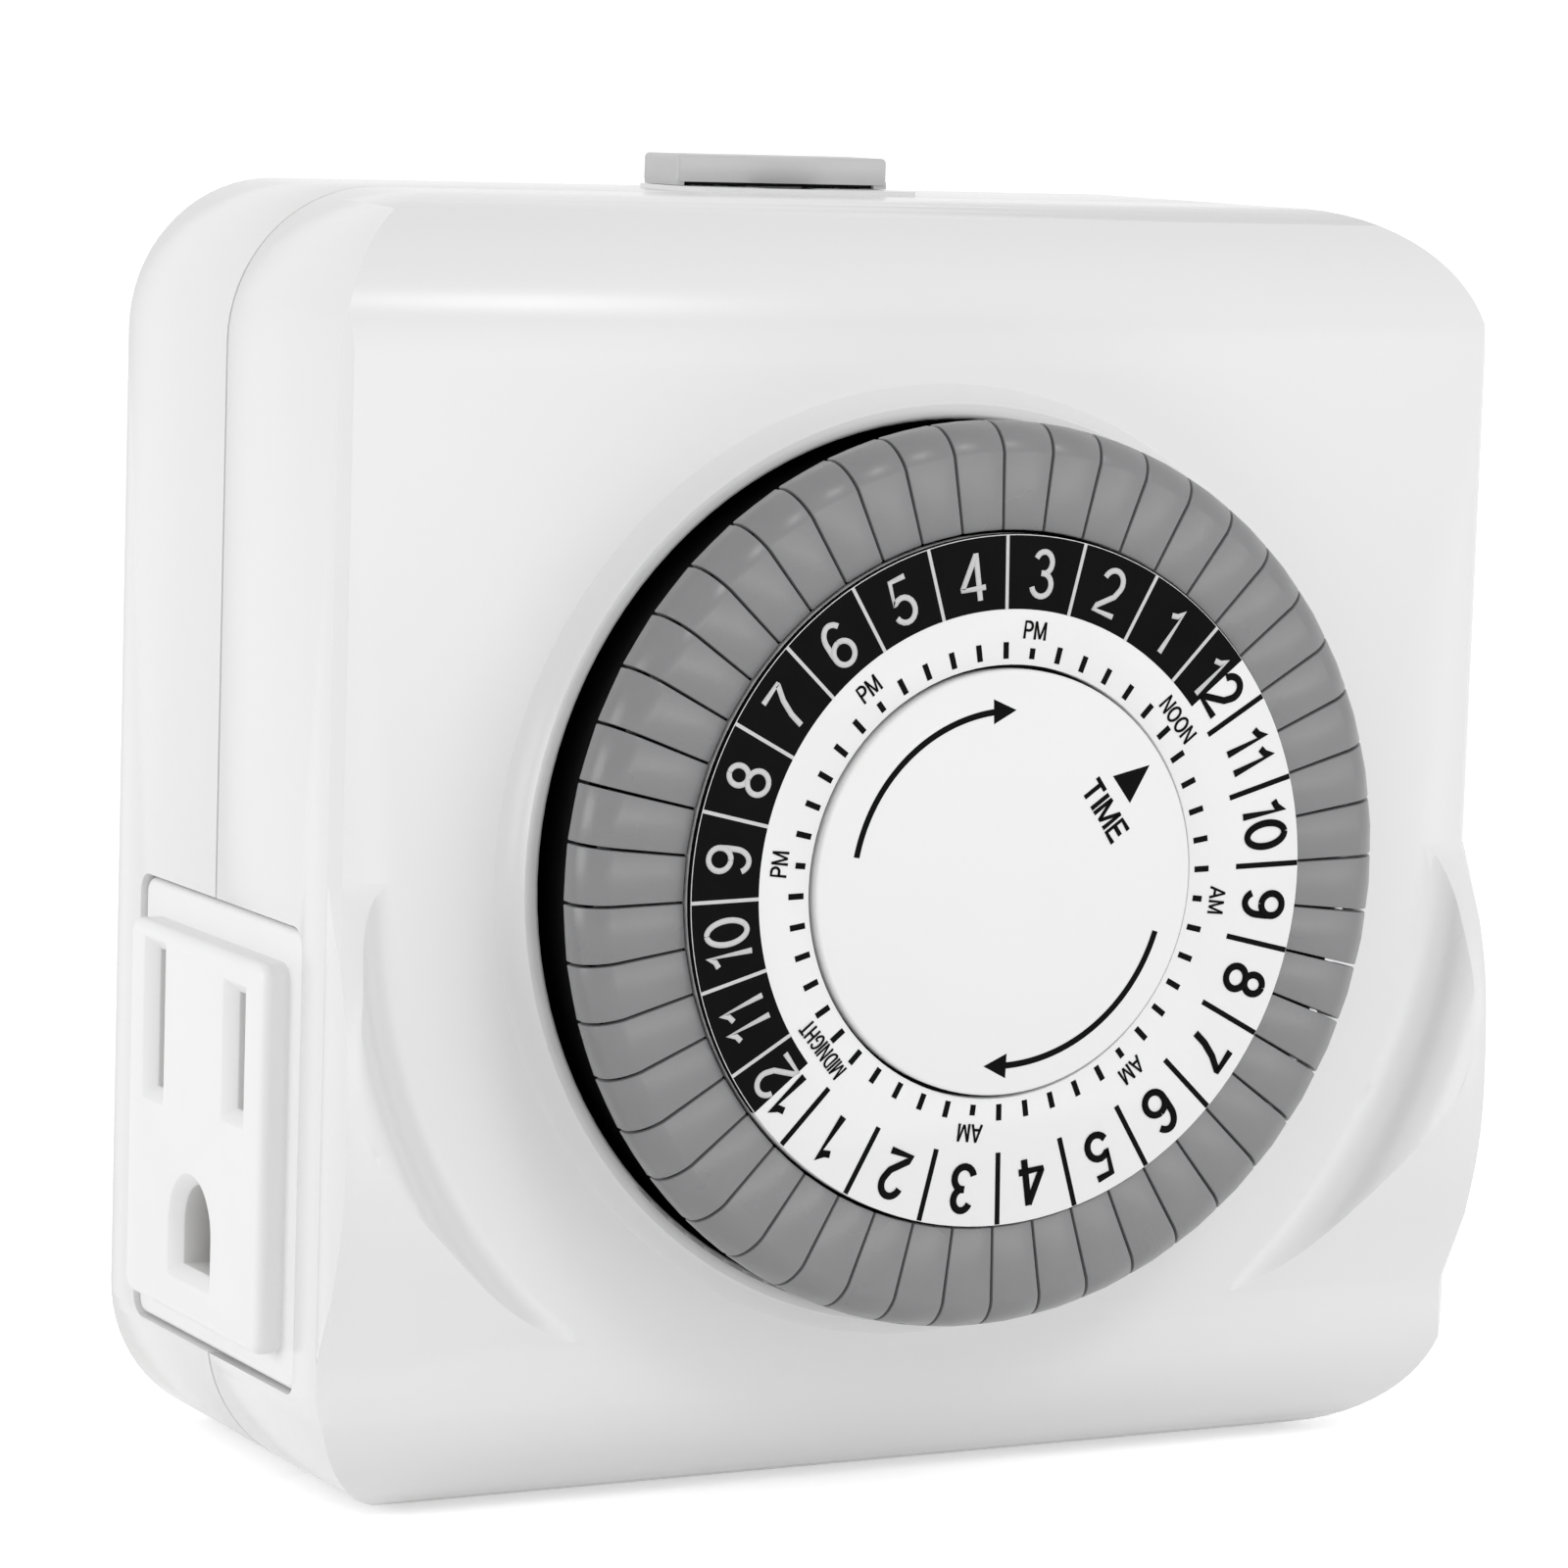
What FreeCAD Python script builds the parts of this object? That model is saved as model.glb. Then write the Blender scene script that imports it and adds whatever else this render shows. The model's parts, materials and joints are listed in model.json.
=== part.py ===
import FreeCAD, Part
import math
import os

V = FreeCAD.Vector

os.makedirs("parts", exist_ok=True)

# The object: a mechanical 24 hour plug-in timer with two side outlets.
# Millimetres. X to the right seen from the front, +Y to the wall, +Z up.
# The origin is on the rear face, on the dial's axis.

# Housing
housing_width = 79.4
housing_height = 79.3
housing_lift = 0.35
body_depth = 33.4
corner_radius = 9.5
front_round = 9.3
side_bevel = 0.7
wall = 2.0
front_wall = 2.2
rear_wall = 2.2
rear_shell_depth = 15.9
split_groove = 0.25
split_groove_depth = 0.8
tongue_height = 2.0
tongue_thickness = 0.9
tongue_clearance = 0.1

# Collar round the dial and the swelling pads beside it
dial_hole_radius = 27.2
collar_rise = 1.85
collar_land = 0.95
collar_flank = 1.1
pad_rise = 3.0
pad_ramp = 9.5
pad_flat = 9.0
pad_fade = 10.0
scoop_radius = 36.0
scoop_width = 5.0

# Dial
dial_rise = 9.05
disc_outer_radius = 20.9
disc_inner_radius = 13.1
disc_thickness = 1.2
cap_radius = 12.85
cap_proud = 0.43
cap_thickness = 1.33
tripper_count = 48
tripper_inner_radius = 21.1
tripper_flat_radius = 25.7
tripper_outer_radius = 27.45
tripper_set_back = 0.45
tripper_drop = 2.5
tripper_skirt = 0.45
tripper_gap = 0.16
tripper_travel = 2.2
stem_length = 9.0
stem_width = 1.5
stem_thickness = 2.6
stem_wall_gap = 0.5
stem_clearance = 0.1
tripper_crown = 0.04
noon_angle = 51.15
drum_wall_radius = 26.5
drum_wall_thickness = 0.8
drum_floor_thickness = 2.4
drum_web_thickness = 1.2
drum_boss_radius = 20.6
drum_boss_wall = 1.0
hub_radius = 5.5
post_radius = 3.0
running_clearance = 0.06
body_gap = 0.3
hub_overhang = 2.0
washer_gap = 0.05
washer_thickness = 0.4
post_flange = 0.6

# Gear train
ring_teeth = 96
ring_module = 0.6
ring_width = 2.0
ring_gap = 0.9
pinion_teeth = 12
drive_angle = 35.0
clutch_teeth = 48
clutch_module = 0.4
reduction_pinion_teeth = 10
reduction_teeth = 50
rotor_module = 0.3
rotor_pinion_teeth = 8
reduction_angle = -60.0
rotor_angle = 190.0
wheel_thickness = 1.5
axle_radius = 0.8
drive_shaft_radius = 1.5

# Mechanism plates
plate_thickness = 1.6
cover_gap = 5.1
cover_thickness = 0.8
plate_post_radius = 2.4

# Motor
core_thickness = 5.0
core_arm = 3.5
core_height = 16.0
core_reach = 26.0
core_side = 8.65
rotor_radius = 6.0
rotor_gap = 0.4
coil_width = 15.5
coil_depth = 14.0
coil_flange = 0.8

# Outlets, with the slot spacing of a standard grounded outlet
slot_spacing = 12.7
ground_drop = 11.9
slot_line_drop = 11.57
outlet_centre_depth = 16.2
plate_width = 25.0
plate_height = 27.6
plate_top_drop = 3.4
plate_shift = 0.4
plate_corner = 1.0
plate_margin = 0.25
plate_sink = 0.25
pad_width = 21.3
pad_height = 23.6
pad_top_drop = 5.6
pad_proud = 1.4
insert_flange = 0.8
insert_wall = 0.3
insert_depth = 19.2
insert_body_width = 22.0
insert_body_height = 24.6
slot_opening = 2.0
hot_slot_height = 7.1
neutral_slot_height = 8.6
slot_lead_in = 0.8
slot_lip = 2.8
ground_slot_width = 5.3
clip_cavity = 4.6
clip_cavity_height = 9.4
ground_cavity = 6.8

# Plug
blade_thickness = 1.5
hot_blade_height = 6.35
neutral_blade_height = 7.9
blade_length = 17.5
ground_pin_radius = 2.4
ground_pin_length = 19.5
ground_pin_tip = 1.0
ground_shank_radius = 1.9
ground_shoulder_gap = 0.05
ground_recess_depth = 0.6
ground_recess_gap = 0.15
plug_line_height = 4.0
blade_hole_radius = 1.5
blade_hole_setback = 5.5
block_width = 22.0
block_height = 21.5
block_depth = 8.3
blade_fit = 0.1

# Conductors
strip_setback = 9.7
ground_setback = 6.2
leaf_thickness = 0.35
leaf_foot = 5.0
foot_joint = 0.1
strip_thickness = 0.8
strip_width = 4.0
clip_thickness = 0.5
clip_length = 14.0
clip_height = 6.0
clip_opening = 1.3

# Override slide
slide_width = 15.0
slide_depth = 5.0
slide_height = 1.7
slide_travel = 3.5
slide_front = 11.5
track_height = 0.3
track_gap = 0.27
slide_stem_width = 4.0
slide_stem_depth = 2.4
slide_edge = 0.3

# Switch lever and contacts
lever_width = 4.0
lever_pin_radius = 1.0
lever_angle = 40.0
lever_swing = 8.0
lever_nose = 5.2
lever_tail = 7.2
lever_boss_radius = 2.1
lever_reach = 4.2
roof_gap = 2.39
finger_height = 2.6
leaf_swing = 7.6
contact_gap = 0.2

# Fasteners
screw_radius = 1.4
screw_head_radius = 2.6
screw_head_height = 1.8
boss_radius = 2.9
boss_inset = 6.6

# Places along the depth, measured from the rear face
y_face = -body_depth
y_split = -rear_shell_depth
y_dial = y_face - dial_rise
y_wall_in = y_face + front_wall
y_rear_in = -rear_wall
half_width = housing_width / 2
z_top = housing_lift + housing_height / 2
z_bottom = housing_lift - housing_height / 2


def box(x0, x1, y0, y1, z0, z1):
    """A block between two corners."""
    return Part.makeBox(x1 - x0, y1 - y0, z1 - z0, V(x0, y0, z0))


def y_rod(radius, x, z, y0, y1):
    """A round bar along Y."""
    return Part.makeCylinder(radius, y1 - y0, V(x, y0, z), V(0, 1, 0))


def x_rod(radius, y, z, x0, x1):
    """A round bar along X."""
    return Part.makeCylinder(radius, x1 - x0, V(x0, y, z), V(1, 0, 0))


def tube(outer, inner, x, z, y0, y1):
    """A round tube along Y."""
    return y_rod(outer, x, z, y0, y1).cut(y_rod(inner, x, z, y0 - 1, y1 + 1))


def edges_along(shape, axis):
    """The straight edges that run along one axis."""
    found = []
    for edge in shape.Edges:
        if isinstance(edge.Curve, Part.Line):
            if abs(edge.tangentAt(edge.FirstParameter).dot(axis)) > 0.999:
                found.append(edge)
    return found


def polygon(points):
    """A flat face through points."""
    return Part.Face(Part.makePolygon(points + [points[0]]))


def turned(profile, angle=360.0):
    """A profile of radius and depth turned about the dial's axis."""
    return profile.revolve(V(0, 0, 0), V(0, 1, 0), angle)


def at_angle(shape, degrees):
    """A copy turned clockwise about the dial's axis, seen from the front."""
    copy = shape.copy()
    copy.rotate(V(0, 0, 0), V(0, 1, 0), degrees)
    return copy


def joined(shapes):
    """Several solids fused into one clean solid."""
    result = shapes[0].fuse(shapes[1:])
    return result.removeSplitter()


def outline(inset, y0, y1):
    """The rounded square of the housing, inset by a distance."""
    block = box(-half_width + inset, half_width - inset, y0, y1, z_bottom + inset, z_top - inset)
    return block.makeFillet(corner_radius - inset, edges_along(block, V(0, 1, 0)))


def rounded_front(inset, y0, y1):
    """A slab across the housing whose front top and bottom edges are rounded."""
    block = box(-60, 60, y0, y1, z_bottom + inset, z_top - inset)
    front = [e for e in edges_along(block, V(1, 0, 0)) if e.CenterOfMass.y < y0 + 0.01]
    return block.makeFillet(front_round - inset, front)


def save(name, shape):
    """Writes one piece to its own file."""
    shape.exportStep("parts/" + name + ".step")


# Gears
def involute(angle):
    return math.tan(angle) - angle


def gear(teeth, module, x, z, y0, y1, phase, backlash=0.08, steps=1):
    """A spur gear whose first tooth points at the phase angle, counted from +X towards +Z."""
    pressure = math.radians(22.0)
    pitch = teeth * module / 2
    base = pitch * math.cos(pressure)
    root = pitch - 1.15 * module
    tip = pitch + 0.85 * module
    half = math.pi / (2 * teeth) - backlash / (2 * pitch)
    radii = [root] + [root + (tip - root) * (i + 1) / (steps + 1) for i in range(steps)] + [tip]

    def half_angle(radius):
        at = math.acos(min(1.0, base / max(radius, base)))
        return half + involute(pressure) - involute(at)

    points = []
    for tooth in range(teeth):
        centre = math.radians(phase) + 2 * math.pi * tooth / teeth
        flank = [(r, centre - half_angle(r)) for r in radii]
        flank += [(r, centre + half_angle(r)) for r in reversed(radii)]
        points += [V(x + r * math.cos(a), y0, z + r * math.sin(a)) for r, a in flank]
    return polygon(points).extrude(V(0, y1 - y0, 0))


# Front shell
def collar_ring():
    """The raised lip round the dial with its sloping flank."""
    lip = dial_hole_radius + collar_land
    foot = lip + collar_flank
    y_lip = y_face - collar_rise
    soft = collar_land / 3
    start = V(dial_hole_radius, y_face + front_wall / 2, 0)
    edges = [
        Part.LineSegment(start, V(dial_hole_radius, y_lip + soft, 0)).toShape(),
        Part.Arc(V(dial_hole_radius, y_lip + soft, 0), V(dial_hole_radius + soft * 0.3, y_lip + soft * 0.3, 0),
                 V(dial_hole_radius + soft, y_lip, 0)).toShape(),
        Part.LineSegment(V(dial_hole_radius + soft, y_lip, 0), V(lip, y_lip + 0.05, 0)).toShape(),
        Part.Arc(V(lip, y_lip + 0.05, 0), V(lip + collar_flank * 0.42, y_face - collar_rise * 0.45, 0),
                 V(foot, y_face, 0)).toShape(),
        Part.LineSegment(V(foot, y_face, 0), V(foot, y_face + front_wall / 2, 0)).toShape(),
        Part.LineSegment(V(foot, y_face + front_wall / 2, 0), start).toShape(),
    ]
    return turned(Part.Face(Part.Wire(edges)))


def pads():
    """The two swelling pads in the lower corners, scooped out round the dial."""
    y_pad = y_face - pad_rise
    swell = Part.BSplineCurve()
    end = -pad_ramp - pad_flat - pad_fade
    swell.interpolate([
        V(-60, y_face, 0),
        V(-60, y_face - 0.35 * pad_rise, -0.33 * pad_ramp),
        V(-60, y_face - 0.8 * pad_rise, -0.78 * pad_ramp),
        V(-60, y_pad, -pad_ramp - pad_flat * 0.45),
        V(-60, y_face - 0.95 * pad_rise, -pad_ramp - pad_flat),
        V(-60, y_face - 0.5 * pad_rise, -pad_ramp - pad_flat - pad_fade * 0.55),
        V(-60, y_face, end),
    ])
    back = [V(-60, y_face, end), V(-60, y_face + 0.6, end), V(-60, y_face + 0.6, 0), V(-60, y_face, 0)]
    lines = [Part.LineSegment(back[i], back[i + 1]).toShape() for i in range(3)]
    swelling = Part.Face(Part.Wire([swell.toShape()] + lines)).extrude(V(120, 0, 0))
    swelling = swelling.common(outline(0, y_face - 10, y_face + 5))
    outer = scoop_radius + scoop_width
    middle = scoop_radius + scoop_width / 2
    bend = scoop_width / 4
    rise = pad_rise
    edges = [
        Part.LineSegment(V(0, y_face, 0), V(scoop_radius, y_face, 0)).toShape(),
        Part.Arc(V(scoop_radius, y_face, 0), V(scoop_radius + bend, y_face - rise * 0.115, 0),
                 V(middle, y_face - rise / 2, 0)).toShape(),
        Part.Arc(V(middle, y_face - rise / 2, 0), V(outer - bend, y_pad + rise * 0.115, 0),
                 V(outer, y_pad, 0)).toShape(),
        Part.LineSegment(V(outer, y_pad, 0), V(outer, y_pad - 5, 0)).toShape(),
        Part.LineSegment(V(outer, y_pad - 5, 0), V(0, y_pad - 5, 0)).toShape(),
        Part.LineSegment(V(0, y_pad - 5, 0), V(0, y_face, 0)).toShape(),
    ]
    scoop = turned(Part.Face(Part.Wire(edges)))
    swelling = swelling.cut(scoop)
    top_fade = V(0, -0.58 * pad_rise - side_bevel, -0.53 * pad_ramp)
    foot_fade = V(0, -0.5 * pad_rise - side_bevel, 0.45 * pad_fade)
    return bevelled(bevelled(swelling, 0, top_fade), end, foot_fade)


def bevelled(shape, z, run):
    """Takes the narrow bevel off the two upright front edges, from a height and along a run."""
    cutter = polygon([
        V(half_width - side_bevel, y_face, z), V(half_width, y_face + side_bevel, z),
        V(half_width + 5, y_face + side_bevel, z), V(half_width + 5, y_face - 5, z),
        V(half_width - side_bevel, y_face - 5, z)]).extrude(run)
    mirrored = cutter.mirror(V(0, 0, 0), V(1, 0, 0))
    return shape.cut(cutter).cut(mirrored)


# Outlet insert, made on the left side and turned half round for the right
outlet_y = -outlet_centre_depth
slot_z = -slot_line_drop
ground_z = slot_z - ground_drop
hot_y = outlet_y - slot_spacing / 2
neutral_y = outlet_y + slot_spacing / 2
plate_y0 = outlet_y - plate_shift - plate_width / 2
plate_y1 = plate_y0 + plate_width
plate_z1 = -plate_top_drop
plate_z0 = plate_z1 - plate_height
x_plate = -half_width + plate_sink
x_pad = -half_width - pad_proud
x_flange = -half_width + wall
x_back = x_plate + insert_depth
flange_thickness = 1.1


def side_block(x0, x1, y0, y1, z0, z1, radius):
    """A block with its edges along X rounded."""
    block = box(x0, x1, y0, y1, z0, z1)
    return block.makeFillet(radius, edges_along(block, V(1, 0, 0)))


def lead_in(y, z, width, height):
    """A slot's mouth: a straight slot that opens out at the face."""
    slot = box(x_pad - 1, x_pad + slot_lip + 0.1, y - width / 2, y + width / 2, z - height / 2, z + height / 2)
    w, h = width / 2, height / 2
    k = slot_lead_in

    def frame(x, grow):
        return Part.makePolygon([V(x, y - w - grow, z - h - grow), V(x, y + w + grow, z - h - grow),
                                 V(x, y + w + grow, z + h + grow), V(x, y - w - grow, z + h + grow),
                                 V(x, y - w - grow, z - h - grow)])
    flare = Part.makeLoft([frame(x_pad - 0.2, k * 1.2), frame(x_pad + k, 0)], True, True)
    return slot.fuse(flare)


def ground_mouth():
    """The round-topped ground opening with its sloping mouth."""
    half = ground_slot_width / 2

    def arch(x, grow):
        r = half + grow
        corners = [V(x, outlet_y - r, ground_z), V(x, outlet_y - r, ground_z - r), V(x, outlet_y + r, ground_z - r),
                   V(x, outlet_y + r, ground_z)]
        edges = [Part.LineSegment(corners[i], corners[i + 1]).toShape() for i in range(3)]
        edges.append(Part.Arc(corners[3], V(x, outlet_y, ground_z + r), corners[0]).toShape())
        return Part.Wire(edges)
    hole = Part.Face(arch(x_pad - 1, 0)).extrude(V(slot_lip + 1.1, 0, 0))
    mouth = Part.makeLoft([arch(x_pad - 0.2, slot_lead_in * 1.2), arch(x_pad + slot_lead_in, 0)], True, True)
    return hole.fuse(mouth)


def outlet_insert():
    plate = side_block(x_plate, x_flange, plate_y0, plate_y1, plate_z0, plate_z1, plate_corner)
    rim = [e for e in plate.Edges if abs(e.CenterOfMass.x - x_plate) < 0.001]
    plate = plate.makeFillet(0.4, rim)
    grow = insert_flange
    flange = box(x_flange + body_gap / 2, x_flange + flange_thickness, plate_y0 - grow, plate_y1 + grow,
                 plate_z0 - grow, plate_z1 + grow)
    flange = flange.common(outline(wall + body_gap / 2, y_face, 0))
    neck = box(x_flange - 0.5, x_flange + 0.5, plate_y0 + 0.5, plate_y1 - 0.5, plate_z0 + 0.5, plate_z1 - 0.5)
    pad_y0 = outlet_y - 0.15 - pad_width / 2
    pad_z1 = -pad_top_drop
    pad = side_block(x_pad, x_flange, pad_y0, pad_y0 + pad_width, pad_z1 - pad_height, pad_z1, plate_corner)
    face = [e for e in pad.Edges if abs(e.CenterOfMass.x - x_pad) < 0.001]
    pad = pad.makeFillet(0.6, face)
    body_z = (plate_z0 + plate_z1) / 2
    body = box(x_flange, x_back, outlet_y - insert_body_width / 2, outlet_y + insert_body_width / 2,
               body_z - insert_body_height / 2, body_z + insert_body_height / 2)
    insert = joined([plate, neck, flange, pad, body])
    x_lip = x_pad + slot_lip
    cavity = clip_cavity / 2
    tall = clip_cavity_height / 2
    for y in (hot_y, neutral_y):
        insert = insert.cut(box(x_lip, x_back + 1, y - cavity, y + cavity, slot_z - tall, slot_z + tall))
    ground = ground_cavity / 2
    insert = insert.cut(box(x_lip, x_back + 1, outlet_y - ground, outlet_y + ground, ground_z - ground,
                            ground_z + ground))
    insert = insert.cut(lead_in(hot_y, slot_z, slot_opening, hot_slot_height))
    insert = insert.cut(lead_in(neutral_y, slot_z, slot_opening, neutral_slot_height))
    return insert.cut(ground_mouth())


def other_side(shape):
    """A copy turned half round the upright axis through the outlets' centre."""
    copy = shape.copy()
    copy.rotate(V(0, outlet_y, 0), V(0, 0, 1), 180)
    return copy


def outlet_holes():
    """The openings in the housing's sides for the outlet inserts."""
    m = plate_margin
    hole = side_block(-half_width - 5, -half_width + wall + 0.05, plate_y0 - m, plate_y1 + m, plate_z0 - m,
                      plate_z1 + m, plate_corner + m)
    return hole.fuse(other_side(hole))


boss_x = half_width - boss_inset
boss_top = z_top - boss_inset
boss_low = z_bottom + boss_inset - 2.2
boss_places = [(boss_x, boss_top), (-boss_x, boss_top), (boss_x, boss_low), (-boss_x, boss_low)]
ring_front = y_wall_in + ring_gap
ring_back = ring_front + ring_width
hub_back = ring_back + hub_overhang
washer_front = hub_back + washer_gap
washer_back = washer_front + washer_thickness
plate_y = washer_back + post_flange
plate_back = plate_y + plate_thickness
cover_y = plate_back + cover_gap
post_places = [(-31.5, 20.0), (31.5, 20.0), (-12.5, -33.0), (12.5, -33.0)]

front_outer = outline(0, y_face, y_split).common(rounded_front(0, y_face, y_split + 20))
front_outer = bevelled(front_outer, -60, V(0, 0, 120))
front_inner = outline(wall, y_wall_in, y_split + 1).common(rounded_front(wall, y_wall_in, y_split + 20))
front_shell = front_outer.cut(front_inner)
for x, z in boss_places:
    boss = y_rod(boss_radius, x, z, y_wall_in - 0.5, y_split).common(front_outer)
    front_shell = front_shell.fuse(boss)
for x, z in post_places:
    post = y_rod(plate_post_radius, x, z, y_wall_in - 0.5, plate_y).common(front_outer)
    front_shell = front_shell.fuse(post)
front_shell = front_shell.fuse(pads())
front_shell = front_shell.cut(y_rod(dial_hole_radius, 0, 0, y_face - 5, y_wall_in + 0.01)).fuse(collar_ring())
groove = outline(-1, y_split - split_groove, y_split + 1).cut(outline(split_groove_depth, y_split - 1, y_split + 2))
front_shell = front_shell.cut(groove)
for x, z in boss_places:
    front_shell = front_shell.cut(y_rod(screw_radius, x, z, y_split - 12, y_split + 1))
for x, z in post_places:
    front_shell = front_shell.cut(y_rod(screw_radius * 0.7, x, z, plate_y - 4.5, plate_y + 1))
front_shell = front_shell.cut(outlet_holes()).removeSplitter()
save("front_housing", front_shell)

# Rear shell
slide_y0 = -slide_front
slide_slot_y1 = slide_y0 + slide_depth - 0.5 * (slide_depth - slide_stem_depth)
rear_shell = outline(0, y_split, 0).cut(outline(wall, y_split - 1, y_rear_in))
inner_tongue = wall + tongue_clearance
tongue = outline(inner_tongue, y_split - tongue_height, y_split + 1)
tongue = tongue.cut(outline(inner_tongue + tongue_thickness, y_split - tongue_height - 1, y_split + 2))
root = outline(wall - 0.2, y_split, y_split + 1).cut(outline(inner_tongue + tongue_thickness, y_split - 1, y_split + 2))
tongue = tongue.fuse(root)
for x, z in boss_places:
    tongue = tongue.cut(y_rod(boss_radius + 0.2, x, z, y_split - 5, y_split + 2))
flange_space = box(-half_width, -half_width + wall + 3, plate_y0 - 3, plate_y1 + 3, plate_z0 - insert_flange - body_gap,
                   plate_z1 + insert_flange + body_gap)
tongue = tongue.cut(flange_space).cut(other_side(flange_space))
rear_shell = rear_shell.fuse(tongue)
for x, z in boss_places:
    rear_shell = rear_shell.fuse(y_rod(boss_radius, x, z, y_split, y_rear_in + 0.5).common(outline(0, y_split, 0)))
stem_y0 = slide_y0 + (slide_depth - slide_stem_depth) / 2
slot_y0 = stem_y0 - slide_travel - body_gap
slot_y1 = stem_y0 + slide_stem_depth + body_gap
slot_half = slide_stem_width / 2 + body_gap
track = box(-slide_width / 2, slide_width / 2, slide_y0 - slide_travel - 0.3, slide_y0 + slide_depth + 0.3,
            z_top - 1, z_top + track_height)
rear_shell = rear_shell.fuse(track)
rear_shell = rear_shell.cut(box(-slot_half, slot_half, slot_y0, slot_y1, z_top - wall - 3, z_top + 2))
for x, z in boss_places:
    rear_shell = rear_shell.cut(y_rod(screw_radius + 0.15, x, z, y_split - 3, 1))
    rear_shell = rear_shell.cut(y_rod(screw_head_radius + 0.2, x, z, -screw_head_height - 1.2, 1))
hot_x = slot_spacing / 2
plug_ground_z = plug_line_height - ground_drop
fit = blade_fit
for x, height in ((hot_x, hot_blade_height), (-hot_x, neutral_blade_height)):
    rear_shell = rear_shell.cut(box(x - blade_thickness / 2 - fit, x + blade_thickness / 2 + fit, y_rear_in - 1, 1,
                                    plug_line_height - height / 2 - fit, plug_line_height + height / 2 + fit))
rear_shell = rear_shell.cut(y_rod(ground_shank_radius + fit, 0, plug_ground_z, y_rear_in - 1, 1))
recess_radius = ground_pin_radius + ground_recess_gap
rear_shell = rear_shell.cut(y_rod(recess_radius, 0, plug_ground_z, -ground_recess_depth, 1))
rear_shell = rear_shell.cut(outlet_holes()).removeSplitter()
save("rear_housing", rear_shell)

left_insert = outlet_insert()
save("left_outlet", left_insert)
save("right_outlet", other_side(left_insert))

# Dial: black carrier, number disc, fixed centre disc and trippers
disc_back = y_dial + disc_thickness
web_back = disc_back + drum_web_thickness
tripper_front = y_dial + tripper_set_back
skirt_y = tripper_front + tripper_drop + tripper_skirt
groove_y = tripper_front + 1.15
wall_front = groove_y + tripper_travel + 0.1
floor_front = skirt_y + tripper_travel + 0.15
floor_back = floor_front + drum_floor_thickness
drum_inner_wall = drum_wall_radius - drum_wall_thickness
stem_outer_radius = drum_inner_wall - stem_wall_gap
stem_inner_radius = stem_outer_radius - stem_thickness
ring_pitch = ring_teeth * ring_module / 2
hub_bore = post_radius + running_clearance
boss_inner = drum_boss_radius - drum_boss_wall
drum_profile = polygon([
    V(hub_bore, disc_back, 0), V(drum_boss_radius, disc_back, 0), V(drum_boss_radius, floor_front, 0),
    V(drum_inner_wall, floor_front, 0), V(drum_inner_wall, wall_front, 0), V(drum_wall_radius, wall_front, 0),
    V(drum_wall_radius, ring_back, 0), V(drum_inner_wall, ring_back, 0), V(drum_inner_wall, floor_back, 0),
    V(boss_inner, floor_back, 0), V(boss_inner, web_back, 0), V(hub_radius, web_back, 0),
    V(hub_radius, hub_back, 0), V(hub_bore, hub_back, 0)])
drum = turned(drum_profile)
drive_direction = 90 + drive_angle
ring = gear(ring_teeth, ring_module, 0, 0, ring_front, ring_back, drive_direction, steps=0)
ring = ring.cut(y_rod(drum_wall_radius - 0.3, 0, 0, ring_front - 1, ring_back + 1))
drum = drum.fuse(ring)
pitch_angle = 360.0 / tripper_count
stem_slot = box(-stem_width / 2 - stem_clearance, stem_width / 2 + stem_clearance, floor_front - 1, floor_back + 1,
                stem_inner_radius - stem_clearance, stem_outer_radius + stem_clearance)
first_angle = noon_angle + pitch_angle / 2
slots = [at_angle(stem_slot, first_angle + i * pitch_angle) for i in range(tripper_count)]
drum = drum.cut(Part.makeCompound(slots)).removeSplitter()
save("dial_carrier", drum)

save("number_disc", tube(disc_outer_radius, disc_inner_radius, 0, 0, y_dial, disc_back))
cap_front = y_dial - cap_proud
cap = y_rod(cap_radius, 0, 0, cap_front, cap_front + cap_thickness)
cap_back = cap_front + cap_thickness
plug_radius = post_radius / 2
cap = cap.fuse(y_rod(plug_radius - 0.02, 0, 0, cap_back - 0.2, cap_back + 4))
save("centre_disc", cap.removeSplitter())
flange_back = plate_y
post = y_rod(post_radius, 0, 0, cap_back, flange_back)
post = post.fuse(y_rod(hub_radius + 0.5, 0, 0, washer_back, flange_back))
post = post.fuse(y_rod(post_radius - 0.5, 0, 0, flange_back - 0.5, plate_back + 0.6))
post = post.cut(y_rod(plug_radius, 0, 0, cap_back - 1, cap_back + 4.3))
save("dial_post", post.removeSplitter())
save("dial_washer", tube(hub_radius, post_radius + 0.1, 0, 0, washer_front, washer_back))

cap_edges = [
    Part.LineSegment(V(tripper_inner_radius, skirt_y, 0), V(tripper_inner_radius, tripper_front, 0)).toShape(),
    Part.LineSegment(V(tripper_inner_radius, tripper_front, 0), V(tripper_flat_radius, tripper_front, 0)).toShape(),
    Part.Arc(V(tripper_flat_radius, tripper_front, 0),
             V(tripper_outer_radius - 0.28 * (tripper_outer_radius - tripper_flat_radius),
               tripper_front + 0.3 * tripper_drop, 0),
             V(tripper_outer_radius, tripper_front + tripper_drop, 0)).toShape(),
]
corners = [V(tripper_outer_radius, tripper_front + tripper_drop, 0), V(tripper_outer_radius, skirt_y, 0),
           V(drum_wall_radius + 0.2, skirt_y, 0), V(drum_wall_radius + 0.2, groove_y, 0),
           V(drum_inner_wall - 0.2, groove_y, 0), V(drum_inner_wall - 0.2, skirt_y, 0),
           V(tripper_inner_radius, skirt_y, 0)]
cap_edges += [Part.LineSegment(corners[i], corners[i + 1]).toShape() for i in range(len(corners) - 1)]
gap_angle = math.degrees(tripper_gap / (tripper_flat_radius - 1.5))
profile = Part.Face(Part.Wire(cap_edges))
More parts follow.
